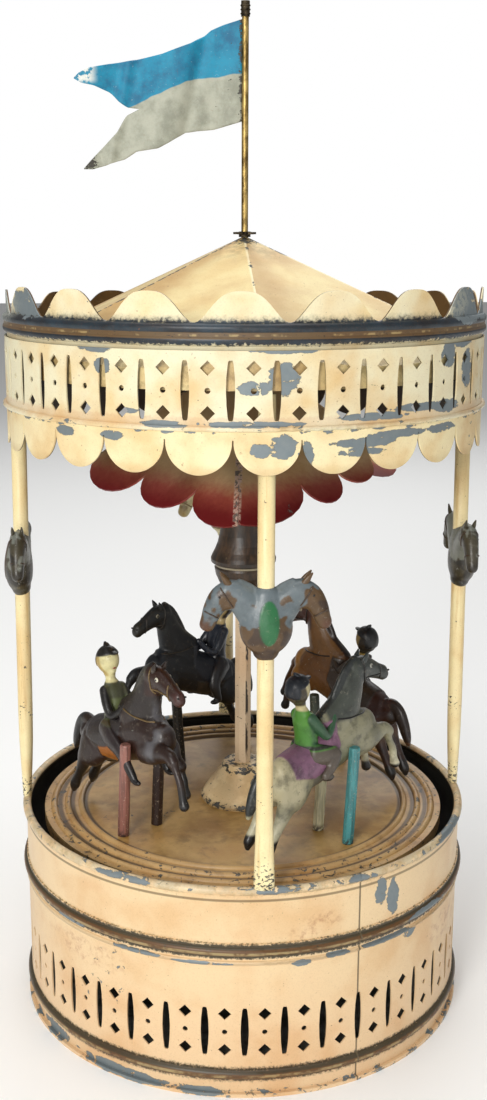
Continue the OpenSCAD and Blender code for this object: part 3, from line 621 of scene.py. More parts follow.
def limb(bm, rows, steps=4, sides=16, round_ends=True):
    """A closed limb through rows of (x, y, z, half height, half width); width lies mostly along y."""
    rows = smooth_rows(rows, steps)
    points = [Vector(row[:3]) for row in rows]
    sizes = [(max(row[3], 0.05), max(row[4], 0.05)) for row in rows]
    tangents = []
    for i in range(len(points)):
        tangents.append((points[min(i + 1, len(points) - 1)] - points[max(i - 1, 0)]).normalized())

    def rounded(end, way, angles):
        """Rings that shrink over one end."""
        for angle in map(math.radians, angles):
            tip = points[end] + tangents[end] * way * math.sin(angle) * min(sizes[end])
            yield tip, tangents[end], sizes[end][0] * math.cos(angle), sizes[end][1] * math.cos(angle)

    rings = [(point, tangent, *size) for point, tangent, size in zip(points, tangents, sizes)]
    if round_ends:
        rings = [*rounded(0, -1, (75, 45, 20)), *rings, *rounded(-1, 1, (20, 45, 75))]
    loops = []
    for centre, tangent, high, wide in rings:
        side = Vector((0, 1, 0))
        if abs(tangent.y) > 0.9:
            side = Vector((1, 0, 0))
        up = tangent.cross(side).normalized()
        across = up.cross(tangent).normalized()
        angles = [2 * math.pi * k / sides for k in range(sides)]
        loops.append([bm.verts.new(centre + across * (wide * math.cos(angle)) + up * (high * math.sin(angle)))
                      for angle in angles])
    skin(bm, loops)


def blob(bm, centre, size, turn=0.0, fine=3):
    """An ellipsoid; turn is about y, in degrees."""
    turned = Matrix.Rotation(math.radians(turn), 4, "Y")
    matrix = Matrix.Translation(centre) @ turned @ Matrix.Diagonal((*size, 1))
    bmesh.ops.create_icosphere(bm, subdivisions=fine, radius=1.0, matrix=matrix)


def outward(bm):
    bmesh.ops.recalc_face_normals(bm, faces=bm.faces)


def fuse(build, voxel=VOXEL, smooth=5):
    """The union of what build draws, remeshed and smoothed, as a mesh in millimetres."""
    bm = bmesh.new()
    build(bm)
    outward(bm)
    mesh = bpy.data.meshes.new("fuse")
    bm.to_mesh(mesh)
    bm.free()
    obj = bpy.data.objects.new("fuse", mesh)
    bpy.context.collection.objects.link(obj)
    remesh = obj.modifiers.new("remesh", "REMESH")
    remesh.mode = "VOXEL"
    remesh.voxel_size = voxel
    soften = obj.modifiers.new("soften", "SMOOTH")
    soften.factor = 0.5
    soften.iterations = smooth
    bpy.context.view_layer.update()
    shape = obj.evaluated_get(bpy.context.evaluated_depsgraph_get())
    result = bpy.data.meshes.new_from_object(shape)
    bpy.data.objects.remove(obj)
    bpy.data.meshes.remove(mesh)
    return result


def array_of(mesh, what="co"):
    data = np.empty(len(mesh.vertices) * 3)
    mesh.vertices.foreach_get(what, data)
    return data.reshape(-1, 3)


def soft(value, low, high):
    """0 below low and 1 above high with a smooth step between, for arrays."""
    t = np.clip((value - low) / (high - low), 0, 1)
    return t * t * (3 - 2 * t)


def inside(points, x, y, edge=0.3):
    """1 inside the closed outline points, fading out over edge, for arrays x and y."""
    points = np.array(points, float)
    ends = np.roll(points, -1, axis=0)
    nearest = np.full(x.shape, 1e9)
    odd = np.zeros(x.shape, bool)
    for (ax, ay), (bx, by) in zip(points, ends):
        dx, dy = bx - ax, by - ay
        t = np.clip(((x - ax) * dx + (y - ay) * dy) / (dx * dx + dy * dy), 0, 1)
        nearest = np.minimum(nearest, np.hypot(x - ax - t * dx, y - ay - t * dy))
        with np.errstate(divide="ignore", invalid="ignore"):
            odd ^= ((ay > y) != (by > y)) & (x < (bx - ax) * (y - ay) / (by - ay) + ax)
    signed = np.where(odd, nearest, -nearest)
    return soft(signed, -edge, edge)


def linked(name, data, matrix=None):
    """A new object in the scene."""
    obj = bpy.data.objects.new(name, data)
    bpy.context.collection.objects.link(obj)
    if matrix is not None:
        obj.matrix_world = matrix
    return obj


def settle(obj, body, nodes):
    """Says which body a finished piece rides on, which CAD nodes it replaces."""
    bpy.context.view_layer.update()
    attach(obj, body)
    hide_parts(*nodes)


class Figure:
    """A painted cast piece: fused shape, small parts laid on it, and a tint per vertex."""

    def __init__(self, name, build, voxel=VOXEL, smooth=5):
        self.name = name
        self.mesh = fuse(build, voxel, smooth)
        self.co = array_of(self.mesh)
        self.normal = array_of(self.mesh, "normal")
        self.tint = np.ones((len(self.co), 3))
        self.parts = []

    def fill(self, colour):
        self.tint[:] = colour[:3]

    def lay(self, colour, mask, raised=0.0):
        """Paints colour where mask is 1, and lifts the surface there."""
        mask = np.clip(mask, 0, 1)[:, None]
        self.tint = self.tint * (1 - mask) + np.array(colour[:3]) * mask
        self.co = self.co + self.normal * mask * raised

    def part(self, build, colour):
        """A small part with a colour of its own."""
        bm = bmesh.new()
        build(bm)
        outward(bm)
        self.parts.append((bm, colour))

    def bead(self, centre, size, colour):
        self.part(lambda bm: blob(bm, centre, size, fine=2), colour)

    def strip(self, rows, colour, **more):
        self.part(lambda bm: limb(bm, rows, **more), colour)

    def place(self, matrix, body, nodes, material, slot):
        """Joins everything into one object in its place in the row frame."""
        bm = bmesh.new()
        self.mesh.vertices.foreach_set("co", self.co.ravel())
        bm.from_mesh(self.mesh)
        layer = bm.verts.layers.float_color.new("tint")
        for vert, colour in zip(bm.verts, self.tint):
            vert[layer] = (*colour, 1.0)
        for piece, colour in self.parts:
            made = {v: bm.verts.new(v.co) for v in piece.verts}
            for v in made.values():
                v[layer] = (*colour[:3], 1.0)
            for face in piece.faces:
                bm.faces.new([made[v] for v in face.verts])
            piece.free()
        mesh = bpy.data.meshes.new(self.name)
        bm.to_mesh(mesh)
        bm.free()
        mesh.transform(Matrix.Diagonal((MM, MM, MM, 1)))
        for poly in mesh.polygons:
            poly.use_smooth = True
        mesh.materials.append(material)
        settle(linked(self.name, mesh, matrix), body, nodes)
        bpy.data.meshes.remove(self.mesh)


def stand(az, radius):
    """Frame of a place round the axis: x along the way of travel, y inwards."""
    return Matrix.Rotation(math.radians(az), 4, "Z") @ Matrix.Translation(Vector((0, -radius, 0)) * MM)


def cast_paint(name, rough=0.38, chip=rgb(150, 150, 140), amount=0.3, mottle=0.3, seed=0.0, coat=0.18):
    """Old glossy paint over a cast figure, coloured by the tint that its mesh carries."""
    p = Paint(name)
    tint = p.add("ShaderNodeAttribute", attribute_name="tint").outputs["Color"]
    broad = p.noise(5.0, 4.0, 0.65, shift=seed)
    colour = p.mix(p.times(p.ease(broad, 0.45, 0.7), mottle), tint, (0, 0, 0, 1))
    light = p.noise(2.2, 4.0, 0.7, shift=seed + 4.0)
    colour = p.over(colour, rgb(190, 180, 160), p.ease(light, 0.55, 0.75), mottle * 0.4)
    field = p.noise(1.6, 5.0, 0.7, 0.4, shift=seed + 7.0)
    bare = p.times(p.ease(field, 0.70 - amount * 0.1, 0.73 - amount * 0.1), 0.8)
    colour = p.mix(bare, colour, chip)
    fine = p.noise(0.7, 3.0, 0.7, shift=seed)
    rough_map = p.plus(p.times(fine, 0.3), rough - 0.12)
    height = p.minus(p.plus(p.times(broad, 0.9), p.times(fine, 0.35)), p.times(bare, 0.3))
    return p.finish(colour, rough_map, height, 0.22, coat=coat)


LEG_JOINTS = ("knee", "cannon", "hoof", "hock", "foot")
FAR_SIDE = {"knee": (19.5, 112.6), "cannon": (22.0, 106.0), "hoof": (23.2, 100.6), "hock": (-32.6, 99.6),
            "foot": (-39.2, 88.2)}
NEAR_SIDE = {"knee": (25.5, 118.8), "cannon": (31.0, 109.0), "hoof": (33.4, 101.8), "hock": (-31.4, 98.6),
             "foot": (-38.2, 87.2)}
NEAR_SIDES = {
    "brown": dict(NEAR_SIDE, knee=(27.4, 119.0), cannon=(32.4, 110.4), hoof=(34.6, 102.6)),
    "grey": dict(NEAR_SIDE, knee=(24.0, 119.2), cannon=(27.6, 110.0), hoof=(29.2, 103.2)),
}


def horse_shape(bm, near):
    limb(bm, [(-33.5, 0, 110.5, 4.2, 4.2), (-30.5, 0, 110, 7.2, 5.6), (-24, 0, 111, 9.0, 6.9),
              (-14.5, 0, 113.6, 9.4, 7.0),
              (-5, 0, 117, 9.6, 6.8), (4, 0, 120, 10.0, 6.8), (11, 0, 121.2, 9.6, 6.4),
              (15.6, 0, 121.8, 6.6, 5.0)], sides=20)
    limb(bm, [(-1.5, 0, 124.5, 10.4, 5.6), (3.6, 0, 130.5, 8.6, 5.0), (6.8, 0, 136.6, 6.6, 4.3),
              (8.8, 0, 142, 5.2, 3.7),
              (10.6, 0, 145.4, 4.0, 3.2)], sides=20)
    limb(bm, [(9.6, 0, 145.2, 4.4, 3.5), (13.6, 0, 145.2, 4.6, 3.5), (17.8, 0, 143.8, 3.9, 3.0),
              (21.8, 0, 142.0, 3.2, 2.6),
              (25.2, 0, 140.6, 3.0, 2.5)], sides=18)
    blob(bm, (12.4, 0, 142.6), (3.8, 3.3, 3.6))
    blob(bm, (25.6, 0, 139.9), (2.6, 2.5, 2.6))
    # a hump of mane at the withers
    limb(bm, [(1.0, 0, 136.0, 2.6, 2.0), (-3.6, 0, 131.2, 3.2, 2.4), (-6.4, 0, 127.2, 2.0, 2.0)])
    for side, at in ((-1, near), (1, FAR_SIDE)):
        (knee_x, knee_z), (cannon_x, cannon_z), (hoof_x, hoof_z), (hock_x, hock_z), (foot_x, foot_z) = (
            at[joint] for joint in LEG_JOINTS)
        leg_y = side * 4.8
        limb(bm, [(8, side * 3.4, 117, 6.4, 3.4), (14, side * 4.2, 117.2, 5.0, 3.0),
                  (knee_x - 2.6, side * 4.6, knee_z + 0.3, 3.0, 2.5),
                  (knee_x + 0.8, leg_y, knee_z - 1.6, 2.5, 2.2)])
        limb(bm, [(knee_x, leg_y, knee_z - 0.6, 2.3, 2.1), (cannon_x - 2.4, leg_y, cannon_z + 4.4, 1.5, 1.5),
                  (cannon_x, leg_y, cannon_z, 1.5, 1.5), (hoof_x - 0.8, leg_y, hoof_z + 2.4, 1.6, 1.6),
                  (hoof_x, leg_y, hoof_z, 2.1, 2.0)])
        limb(bm, [(-24, side * 3.6, 109, 8.6, 3.8), (-27.0, side * 4.4, 104.6, 7.0, 3.6),
                  (hock_x + 1.6, leg_y, hock_z + 3.0, 4.2, 3.0),
                  (hock_x, leg_y, hock_z, 3.0, 2.5),
                  ((hock_x + foot_x) / 2, leg_y, (hock_z + foot_z) / 2, 1.9, 1.8),
                  (foot_x, leg_y, foot_z, 2.3, 2.0), (foot_x - 0.8, leg_y, foot_z - 2.4, 1.2, 1.2)])
    limb(bm, [(-31, 0, 114, 3.0, 2.2), (-35, 0, 115.2, 2.8, 2.1), (-38.6, 0, 113.2, 2.8, 2.1),
              (-41, 0, 108.6, 2.8, 2.1), (-43, 0, 103.6, 2.2, 1.7),
              (-44, 0, 100.6, 1.2, 1.0)])
    limb(bm, [(9.6, 0, 149.4, 1.4, 1.4), (5.0, 0, 145.6, 1.8, 1.3), (0.4, 0, 138.6, 1.8, 1.3),
              (-3.2, 0, 131.8, 1.6, 1.2)])


def patchy(points, fineness):
    """Smooth noise of about -1 to 1 at each point."""
    return np.array([noise.noise(Vector(point) * fineness) for point in points]) * 1.6


# the black horse is shorter than the others and stands further back on its posts: (length share, shift)
PUSHED = {"black": (0.88, -5.0)}


def push_back(points, share, shift):
    """Shortens about x = -10 and shifts along x, in place, an array of points or a mesh being built."""
    if isinstance(points, np.ndarray):
        points[:, 0] = (points[:, 0] + 10.0) * share - 10.0 + shift
    else:
        for vert in points.verts:
            vert.co.x = (vert.co.x + 10.0) * share - 10.0 + shift


def straps(figure, lines, colour, radius=0.32):
    """Thin raised straps over the surface; each line is points (x, z) as seen from one side."""
    bm = bmesh.new()
    figure.mesh.vertices.foreach_set("co", figure.co.ravel())
    bm.from_mesh(figure.mesh)
    tree = BVHTree.FromBMesh(bm)
    for line in lines:
        dense = smooth_rows([(x, z) for x, z in line], 5)
        for side in (-1, 1):
            rows = []
            for x, z in dense:
                hit = tree.ray_cast(Vector((x, side * 30, z)), Vector((0, -side, 0)))[0]
                if hit:
                    rows.append((hit.x, hit.y + side * 0.08, hit.z, radius, radius))
            if len(rows) > 2:
                figure.strip(rows, colour, steps=1, sides=6)
    bm.free()


def horse(name, coat_colour, seed):
    """One cast horse in its paint."""
    fig = Figure(name + "_horse_cast", lambda b: horse_shape(b, NEAR_SIDES.get(name, NEAR_SIDE)))
    x, y, z = fig.co.T
    fig.fill(coat_colour["body"])
    fig.lay(coat_colour["neck"], soft(z, 127.6, 129.4) * soft(x, -8, -6))
    head = soft(x, 8, 10) * soft(z, 137.5, 139)
    fig.lay(coat_colour["head"], head)
    chest = soft(x - np.abs(y) * 0.4, 8.5, 13) * soft(z, 138, 132) * soft(z, 112, 116)
    fig.lay(coat_colour["chest"], chest * (1 - soft(x, 17, 20)) * soft(patchy(fig.co, 0.2), -0.25, 0.25))
    fig.lay(coat_colour["muzzle"], soft(x, 23.0, 26.0) * soft(z, 136, 137.5))
    rump = soft(x, -18, -26) * soft(z, 100, 106)
    fig.lay(coat_colour["rump"], rump)
    legs = np.maximum(soft(z, 103, 97) * soft(x, 6, 3), soft(z, 112, 106) * soft(x, 16, 18))
    fig.lay(coat_colour["legs"], legs)
    cloth = inside([(-27.5, 122), (-26.5, 112.5), (-17, 110.5), (-13, 111.6), (-7.2, 114.4), (-3.4, 120),
                    (-4.6, 130), (-14, 128)], x, z)
    fig.lay(coat_colour["cloth"], cloth, 0.35)
    border = inside([(-18.5, 114.0), (-17.2, 106.6), (-10.0, 105.6), (-6.0, 108.6), (-4.8, 114.0),
                     (-10.0, 112.6)], x, z) * (1 - cloth)
    fig.lay(coat_colour["border"], border, 0.2)
    hooves = np.maximum.reduce([
        soft(z, 103.8, 103.0) * soft(x, 18, 19), soft(z, 91.4, 90.4) * soft(x, -24, -26),
    ])
    fig.lay(coat_colour["hoof"], hooves)
    tail = soft(x, -34.5, -36.5) * soft(z, 101.0, 102.0)
    fig.lay(coat_colour["mane"], tail)
    crest = (np.abs(y) < 1.7) * soft(z - 1.35 * (x + 3.2), 131.6 - 1.5, 131.6 + 1.2)
    crest = crest * soft(z, 128, 131) * soft(x, 12, 10)
    fig.lay(coat_colour["mane"], crest)
    for side in (-1, 1):
        fig.strip([(12.6, side * 2.0, 147.6, 1.5, 1.0), (13.6, side * 2.3, 149.6, 1.15, 0.8),
                   (14.6, side * 2.5, 151.4, 0.35, 0.3)], coat_colour["ear"])
        fig.bead((16.0, side * 3.0, 145.9), (0.95, 0.5, 0.95), coat_colour["eye"])
        fig.bead((16.1, side * 3.35, 145.9), (0.45, 0.3, 0.45), rgb(16, 14, 12))
        fig.bead((27.3, side * 1.7, 141.4), (0.5, 0.4, 0.4), rgb(20, 14, 12))
    straps(fig, [[(11.4, 149.0), (12.0, 145.5), (12.6, 141.5), (13.6, 139.8)],
                 [(12.6, 141.5), (17.5, 141.2), (22.0, 141.2)],
                 [(21.6, 144.8), (22.0, 142.0), (22.2, 139.2)],
                 [(15.6, 128.6), (10.0, 128.4), (4.0, 128.6), (-3.0, 129.6)]], coat_colour["strap"])
    if name in PUSHED:
        for at in [fig.co] + [part for part, _ in fig.parts]:
            push_back(at, *PUSHED[name])
    material = cast_paint(name + "_horse_paint", seed=seed, **coat_colour.get("finish", {}))
    return fig.place(stand(STATIONS[name], HORSE_R), "carousel", [name + "_horse"], material,
                     name + "_horse_paint")


RIDER_LEG = [(-11.4, 6.8, 115.4), (-8.6, 8.0, 111.4), (-9.2, 8.6, 107.4), (-10.0, 8.8, 104.6)]
RIDER_LEGS = {
    "brown": [(-9.0, 6.8, 116.2), (-2.0, 7.9, 114.0), (3.6, 8.0, 109.4), (7.2, 7.9, 105.6)],
    "grey": [(-10.6, 6.4, 117.8), (-7.0, 7.4, 117.2), (-9.6, 7.9, 113.0), (-12.6, 8.0, 110.6)],
}


def rider_shape(bm, leg):
    limb(bm, [(-14.8, 0, 119, 5.2, 5.2), (-15.2, 0, 123.4, 4.3, 4.5), (-15.8, 0, 128, 4.2, 4.4),
              (-16.8, 0, 132.2, 3.7, 4.6), (-17.6, 0, 134.8, 2.4, 3.2)], sides=18)
    limb(bm, [(-17.6, 0, 134.6, 2.2, 2.2), (-18.4, 0, 137.6, 2.0, 2.0), (-19.2, 0, 140, 2.4, 2.3)])
    blob(bm, (-19.6, 0, 144.0), (4.7, 4.2, 5.4), 6)
    blob(bm, (-15.5, 0, 143.6), (0.75, 0.6, 0.95))
    blob(bm, (-16.8, 0, 140.2), (1.5, 1.6, 1.2))
    for side in (-1, 1):
        limb(bm, [(-16.8, side * 3.8, 133.0, 2.3, 2.1), (-13.4, side * 5.3, 128.6, 2.0, 1.9),
                  (-10.0, side * 5.5, 125.0, 1.8, 1.7),
                  (-6.4, side * 4.4, 127.2, 1.5, 1.4), (-3.6, side * 3.0, 130.8, 1.4, 1.2)])
        knee, shin, calf, ankle = [(x, side * y, z) for x, y, z in leg]
        limb(bm, [(-15.4, side * 4.6, 118.4, 4.6, 2.8), (*knee, 3.9, 2.4), (*shin, 2.9, 2.0),
                  (*calf, 2.1, 1.7), (*ankle, 1.7, 1.5)])
        x, y, z = ankle
        limb(bm, [(x - 0.4, y, z - 0.6, 1.4, 1.3), (x + 1.6, y, z - 1.2, 1.3, 1.3),
                  (x + 3.4, y, z - 1.2, 0.9, 1.0)])


def bow(fig):
    """Bends the rider's neck so that the head comes down."""
    fig.co[:, 2] -= 4.0 * soft(fig.co[:, 2], 126, 140)
    for part, _ in fig.parts:
        for vert in part.verts:
            vert.co.z -= 4.0


def rider(name, dress, seed):
    """One rider astride in painted clothes."""
    fig = Figure(name + "_rider_cast", lambda b: rider_shape(b, RIDER_LEGS.get(name, RIDER_LEG)), 0.42, 4)
    x, y, z = fig.co.T
    fig.fill(dress["jacket"])
    fig.lay(dress["waist"], soft(z, 131.0, 129.8) * soft(z, 121.4, 122.6) * soft(x, -8.5, -10.5))
    fig.lay(dress["belt"], soft(z, 122.6, 122.0) * soft(z, 120.6, 121.2) * soft(x, -7, -9))
    fig.lay(dress["skirt"], soft(z, 121.0, 120.2))
    fig.lay(dress["boot"], soft(z, 110.0, 108.6))
    sleeve = np.maximum(soft(np.abs(y), 3.9, 4.7), soft(x, -10.2, -9.2)) * soft(z, 122.0, 123.0)
    fig.lay(dress["sleeve"], sleeve)
    fig.lay(dress["face"], soft(z, 135.5, 136.2))
    hair = soft(z, 137.6, 138.6) * soft(x + 0.35 * (z - 144), -18.6, -19.8)
    fig.lay(dress["hair"], hair, 0.25)
    cap = soft(z - 0.3 * (x + 19.6), 145.6, 146.2)
    cap = np.maximum(cap, soft(z, 141.0, 142.0) * soft(x, -21.4, -22.2))
    fig.lay(dress["cap"], cap, 0.45)
    for side in (-1, 1):
        fig.bead((-15.75, side * 1.55, 144.9), (0.35, 0.42, 0.4), rgb(38, 30, 26))
        fig.strip([(-15.9, side * 0.7, 146.1, 0.16, 0.16), (-15.95, side * 1.6, 146.5, 0.16, 0.16),
                   (-16.5, side * 2.4, 146.2, 0.16, 0.16)], dress["hair"])
    fig.bead((-15.35, 0, 141.7), (0.35, 0.85, 0.28), rgb(150, 66, 56))
    fig.strip([(-20.2, 0, 149.0, 1.2, 1.6), (-21.0, 0, 150.0, 0.8, 1.2), (-21.6, 0, 150.6, 0.4, 0.6)],
              dress["cap"])
    fig.strip([(-16.8, 0, 147.6, 0.9, 1.7), (-15.0, 0, 147.6, 0.55, 1.5), (-14.0, 0, 147.9, 0.3, 0.9)],
              dress["cap"])
    if name == "tan":
        bow(fig)
    if name in PUSHED:
        for at in [fig.co] + [part for part, _ in fig.parts]:
            push_back(at, 1.0, -10.0)
    material = cast_paint(name + "_rider_paint", seed=seed, amount=0.15, mottle=0.25)
    return fig.place(stand(STATIONS[name], HORSE_R), "carousel", [name + "_horse_rider"], material,
                     name + "_rider_paint")


BLACK = rgb(24, 22, 22)
COATS = {
    # the brown horse's grey chest patch is a painted silver sheen on its shoulder
    "brown": dict(body=rgb(38, 18, 9), neck=rgb(28, 16, 10), head=rgb(46, 22, 11), chest=rgb(90, 88, 91),
                  muzzle=rgb(66, 36, 30),
                  rump=rgb(36, 20, 12), legs=rgb(16, 12, 10), cloth=rgb(40, 32, 32), border=rgb(156, 92, 30),
                  hoof=BLACK, mane=BLACK,
                  ear=rgb(38, 24, 16), eye=rgb(230, 226, 206), strap=rgb(110, 88, 50)),
    "grey": dict(body=rgb(138, 134, 108), neck=rgb(62, 66, 58), head=rgb(54, 58, 54), chest=rgb(112, 110, 92),
                 muzzle=rgb(52, 56, 54),
                 rump=rgb(196, 186, 150), legs=rgb(196, 190, 160), cloth=rgb(132, 92, 116),
                 border=rgb(104, 98, 84), hoof=BLACK,
                 mane=rgb(40, 44, 42), ear=rgb(48, 54, 52), eye=rgb(150, 150, 140), strap=rgb(24, 22, 20),
                 finish=dict(mottle=0.5, chip=rgb(60, 60, 52), amount=0.5)),
    "tan": dict(body=rgb(92, 58, 22), neck=rgb(104, 70, 30), head=rgb(64, 32, 18), chest=rgb(150, 104, 40),
                muzzle=rgb(54, 34, 22),
                rump=rgb(58, 26, 16), legs=rgb(52, 26, 16), cloth=rgb(48, 36, 26), border=rgb(88, 54, 24),
                hoof=BLACK, mane=rgb(34, 20, 14),
                ear=rgb(58, 32, 20), eye=rgb(200, 190, 160), strap=rgb(30, 18, 12)),
    "black": dict(body=rgb(8, 11, 14), neck=rgb(8, 10, 12), head=rgb(10, 13, 13), chest=rgb(18, 24, 32),
                  muzzle=rgb(32, 30, 22),
                  rump=rgb(14, 18, 24), legs=rgb(10, 12, 12), cloth=rgb(16, 20, 28), border=rgb(40, 32, 22),
                  hoof=BLACK, mane=BLACK,
                  ear=rgb(12, 14, 14), eye=rgb(110, 106, 90), strap=rgb(40, 34, 26),
                  finish=dict(mottle=0.2, chip=rgb(30, 38, 48), amount=0.3, rough=0.46, coat=0.06)),
}
DRESSES = {
    "brown": dict(jacket=rgb(74, 76, 54), waist=rgb(108, 116, 76), belt=rgb(70, 58, 34),
                  skirt=rgb(44, 34, 34), boot=rgb(18, 14, 12),
                  sleeve=rgb(22, 18, 16), face=rgb(222, 212, 158), hair=rgb(178, 152, 84),
                  cap=rgb(26, 24, 20)),
    "grey": dict(jacket=rgb(84, 146, 50), waist=rgb(76, 138, 48), belt=rgb(40, 46, 34), skirt=rgb(86, 76, 66),
                 boot=rgb(14, 14, 14),
                 sleeve=rgb(48, 84, 56), face=rgb(214, 200, 150), hair=rgb(70, 60, 42), cap=rgb(18, 24, 34)),
    "tan": dict(jacket=rgb(60, 50, 38), waist=rgb(52, 42, 32), belt=rgb(40, 32, 24), skirt=rgb(44, 34, 26),
                boot=rgb(18, 14, 12),
                sleeve=rgb(48, 40, 32), face=rgb(134, 112, 58), hair=rgb(36, 30, 20), cap=rgb(12, 14, 18)),
    "black": dict(jacket=rgb(16, 24, 38), waist=rgb(16, 22, 34), belt=rgb(20, 18, 16), skirt=rgb(20, 18, 20),
                  boot=rgb(12, 12, 12),
                  sleeve=rgb(16, 24, 36), face=rgb(170, 150, 104), hair=rgb(30, 26, 20), cap=rgb(12, 14, 18)),
}
for order, name in enumerate(COATS):
    horse(name, COATS[name], 13.0 * order)
    rider(name, DRESSES[name], 13.0 * order + 5.0)


# ---------------------------------------------------------------- wooden posts under the horses
POST_COLOURS = {
    "brown": (rgb(150, 100, 88), rgb(38, 20, 16)), "grey": (rgb(70, 144, 146), rgb(212, 206, 170)),
    "tan": (rgb(62, 70, 58), rgb(56, 64, 52)), "black": (rgb(14, 18, 16), rgb(12, 16, 14)),
}


def wood_paint(name, outer, inner, seed):
    """Painted strips of wood, one colour on the outer post and one on the inner; y is inwards."""
    p = Paint(name)
    grain = p.noise(1.5, 4.0, 0.65, stretch=(1, 1, 0.1), shift=seed)
    colour = p.mix(p.ease(p.y, -2.0, 2.0), outer, inner)
    colour = p.over(colour, rgb(40, 36, 32), p.ease(grain, 0.42, 0.62), 0.4)
    speck = p.cloud(0.6, 0.66, 0.9, 4.0, 0.75, shift=seed + 2.0)
    colour = p.over(colour, rgb(206, 186, 160), speck, 0.5)
    foot = p.times(p.ease(p.z, 83.0, 80.5), p.cloud(0.35, 0.55, 1.4, 2.0))
    colour = p.over(colour, rgb(44, 30, 26), foot, 0.9)
    return p.finish(colour, p.plus(p.times(grain, 0.25), 0.34), grain, 0.12, coat=0.15)


def post_strip(bm, side):
    """One leaning eight-sided strip with eased edges."""
    lean = math.tan(POST_LEAN)
    top = POST_TOPS[side]
    rings = []
    sides = 8
    for z, size in ((79.55, 2.2), (80.2, 2.3), (85, 2.3), (top - 0.8, 2.25), (top - 0.1, 2.0)):
        centre = Vector(((z - POST_FOOT) * lean, side * POST_GAP, z))
        angles = [math.radians(22.5 + 45 * k) for k in range(sides)]
        corners = [Vector((math.cos(angle), math.sin(angle), 0)) for angle in angles]
        rings.append([bm.verts.new(centre + corner * size) for corner in corners])
    skin(bm, rings)


def plain_piece(name, build, matrix, body, nodes, material, smooth=True, bevel=0.0):
    bm = bmesh.new()
    build(bm)
    outward(bm)
    mesh = bpy.data.meshes.new(name)
    bm.to_mesh(mesh)
    bm.free()
    mesh.transform(Matrix.Diagonal((MM, MM, MM, 1)))
    for poly in mesh.polygons:
        poly.use_smooth = smooth
    mesh.materials.append(material)
    obj = linked(name, mesh, matrix)
    if bevel:
        edge = obj.modifiers.new("bevel", "BEVEL")
        edge.width = bevel * MM
        edge.segments = 2
        edge.limit_method = "ANGLE"
    settle(obj, body, nodes)


for order, (name, (outer, inner)) in enumerate(POST_COLOURS.items()):
    plain_piece(name + "_posts_wood", lambda b: [post_strip(b, side) for side in POST_TOPS],
                stand(STATIONS[name], HORSE_R), "carousel",
                [name + "_horse_posts"], wood_paint(name + "_posts_paint", outer, inner, 7.0 * order),
                False, 0.25)


# ---------------------------------------------------------------- horse-head ornaments on the columns
def heads_shape(bm):
    """A shield round the column, with a horse's head and neck curving out each way; y points inwards."""
    limb(bm, [(0, -0.4, 189.6, 4.8, 3.8), (0, -0.8, 184.8, 7.6, 4.8), (0, -1.0, 180.2, 9.0, 5.4),
              (0, -1.0, 176.2, 8.8, 5.4), (0, -0.8, 172.8, 7.2, 4.8),
              (0, -0.4, 170.4, 4.6, 3.8)], sides=22)
    for s in (-1, 1):
        limb(bm, [(s * 3.0, -0.4, 183.0, 6.6, 4.2), (s * 7.4, -0.3, 187.8, 5.4, 3.8),
                  (s * 10.8, -0.2, 190.6, 4.6, 3.4), (s * 13.0, -0.2, 191.2, 4.2, 3.3)], sides=18)
        limb(bm, [(s * 11.6, -0.2, 191.4, 4.2, 3.3), (s * 15.0, -0.2, 189.2, 4.2, 3.2),
                  (s * 17.6, -0.2, 185.4, 3.5, 2.8), (s * 19.0, -0.2, 181.8, 2.9, 2.5),
                  (s * 19.8, -0.2, 179.8, 2.7, 2.3)], sides=18)
        blob(bm, (s * 13.0, -0.2, 188.0), (3.0, 3.1, 3.2))
        limb(bm, [(s * 9.0, 0, 194.4, 1.2, 1.0), (s * 5.6, 0, 192.6, 1.4, 1.0),
                  (s * 2.4, 0, 190.4, 1.3, 1.0)])


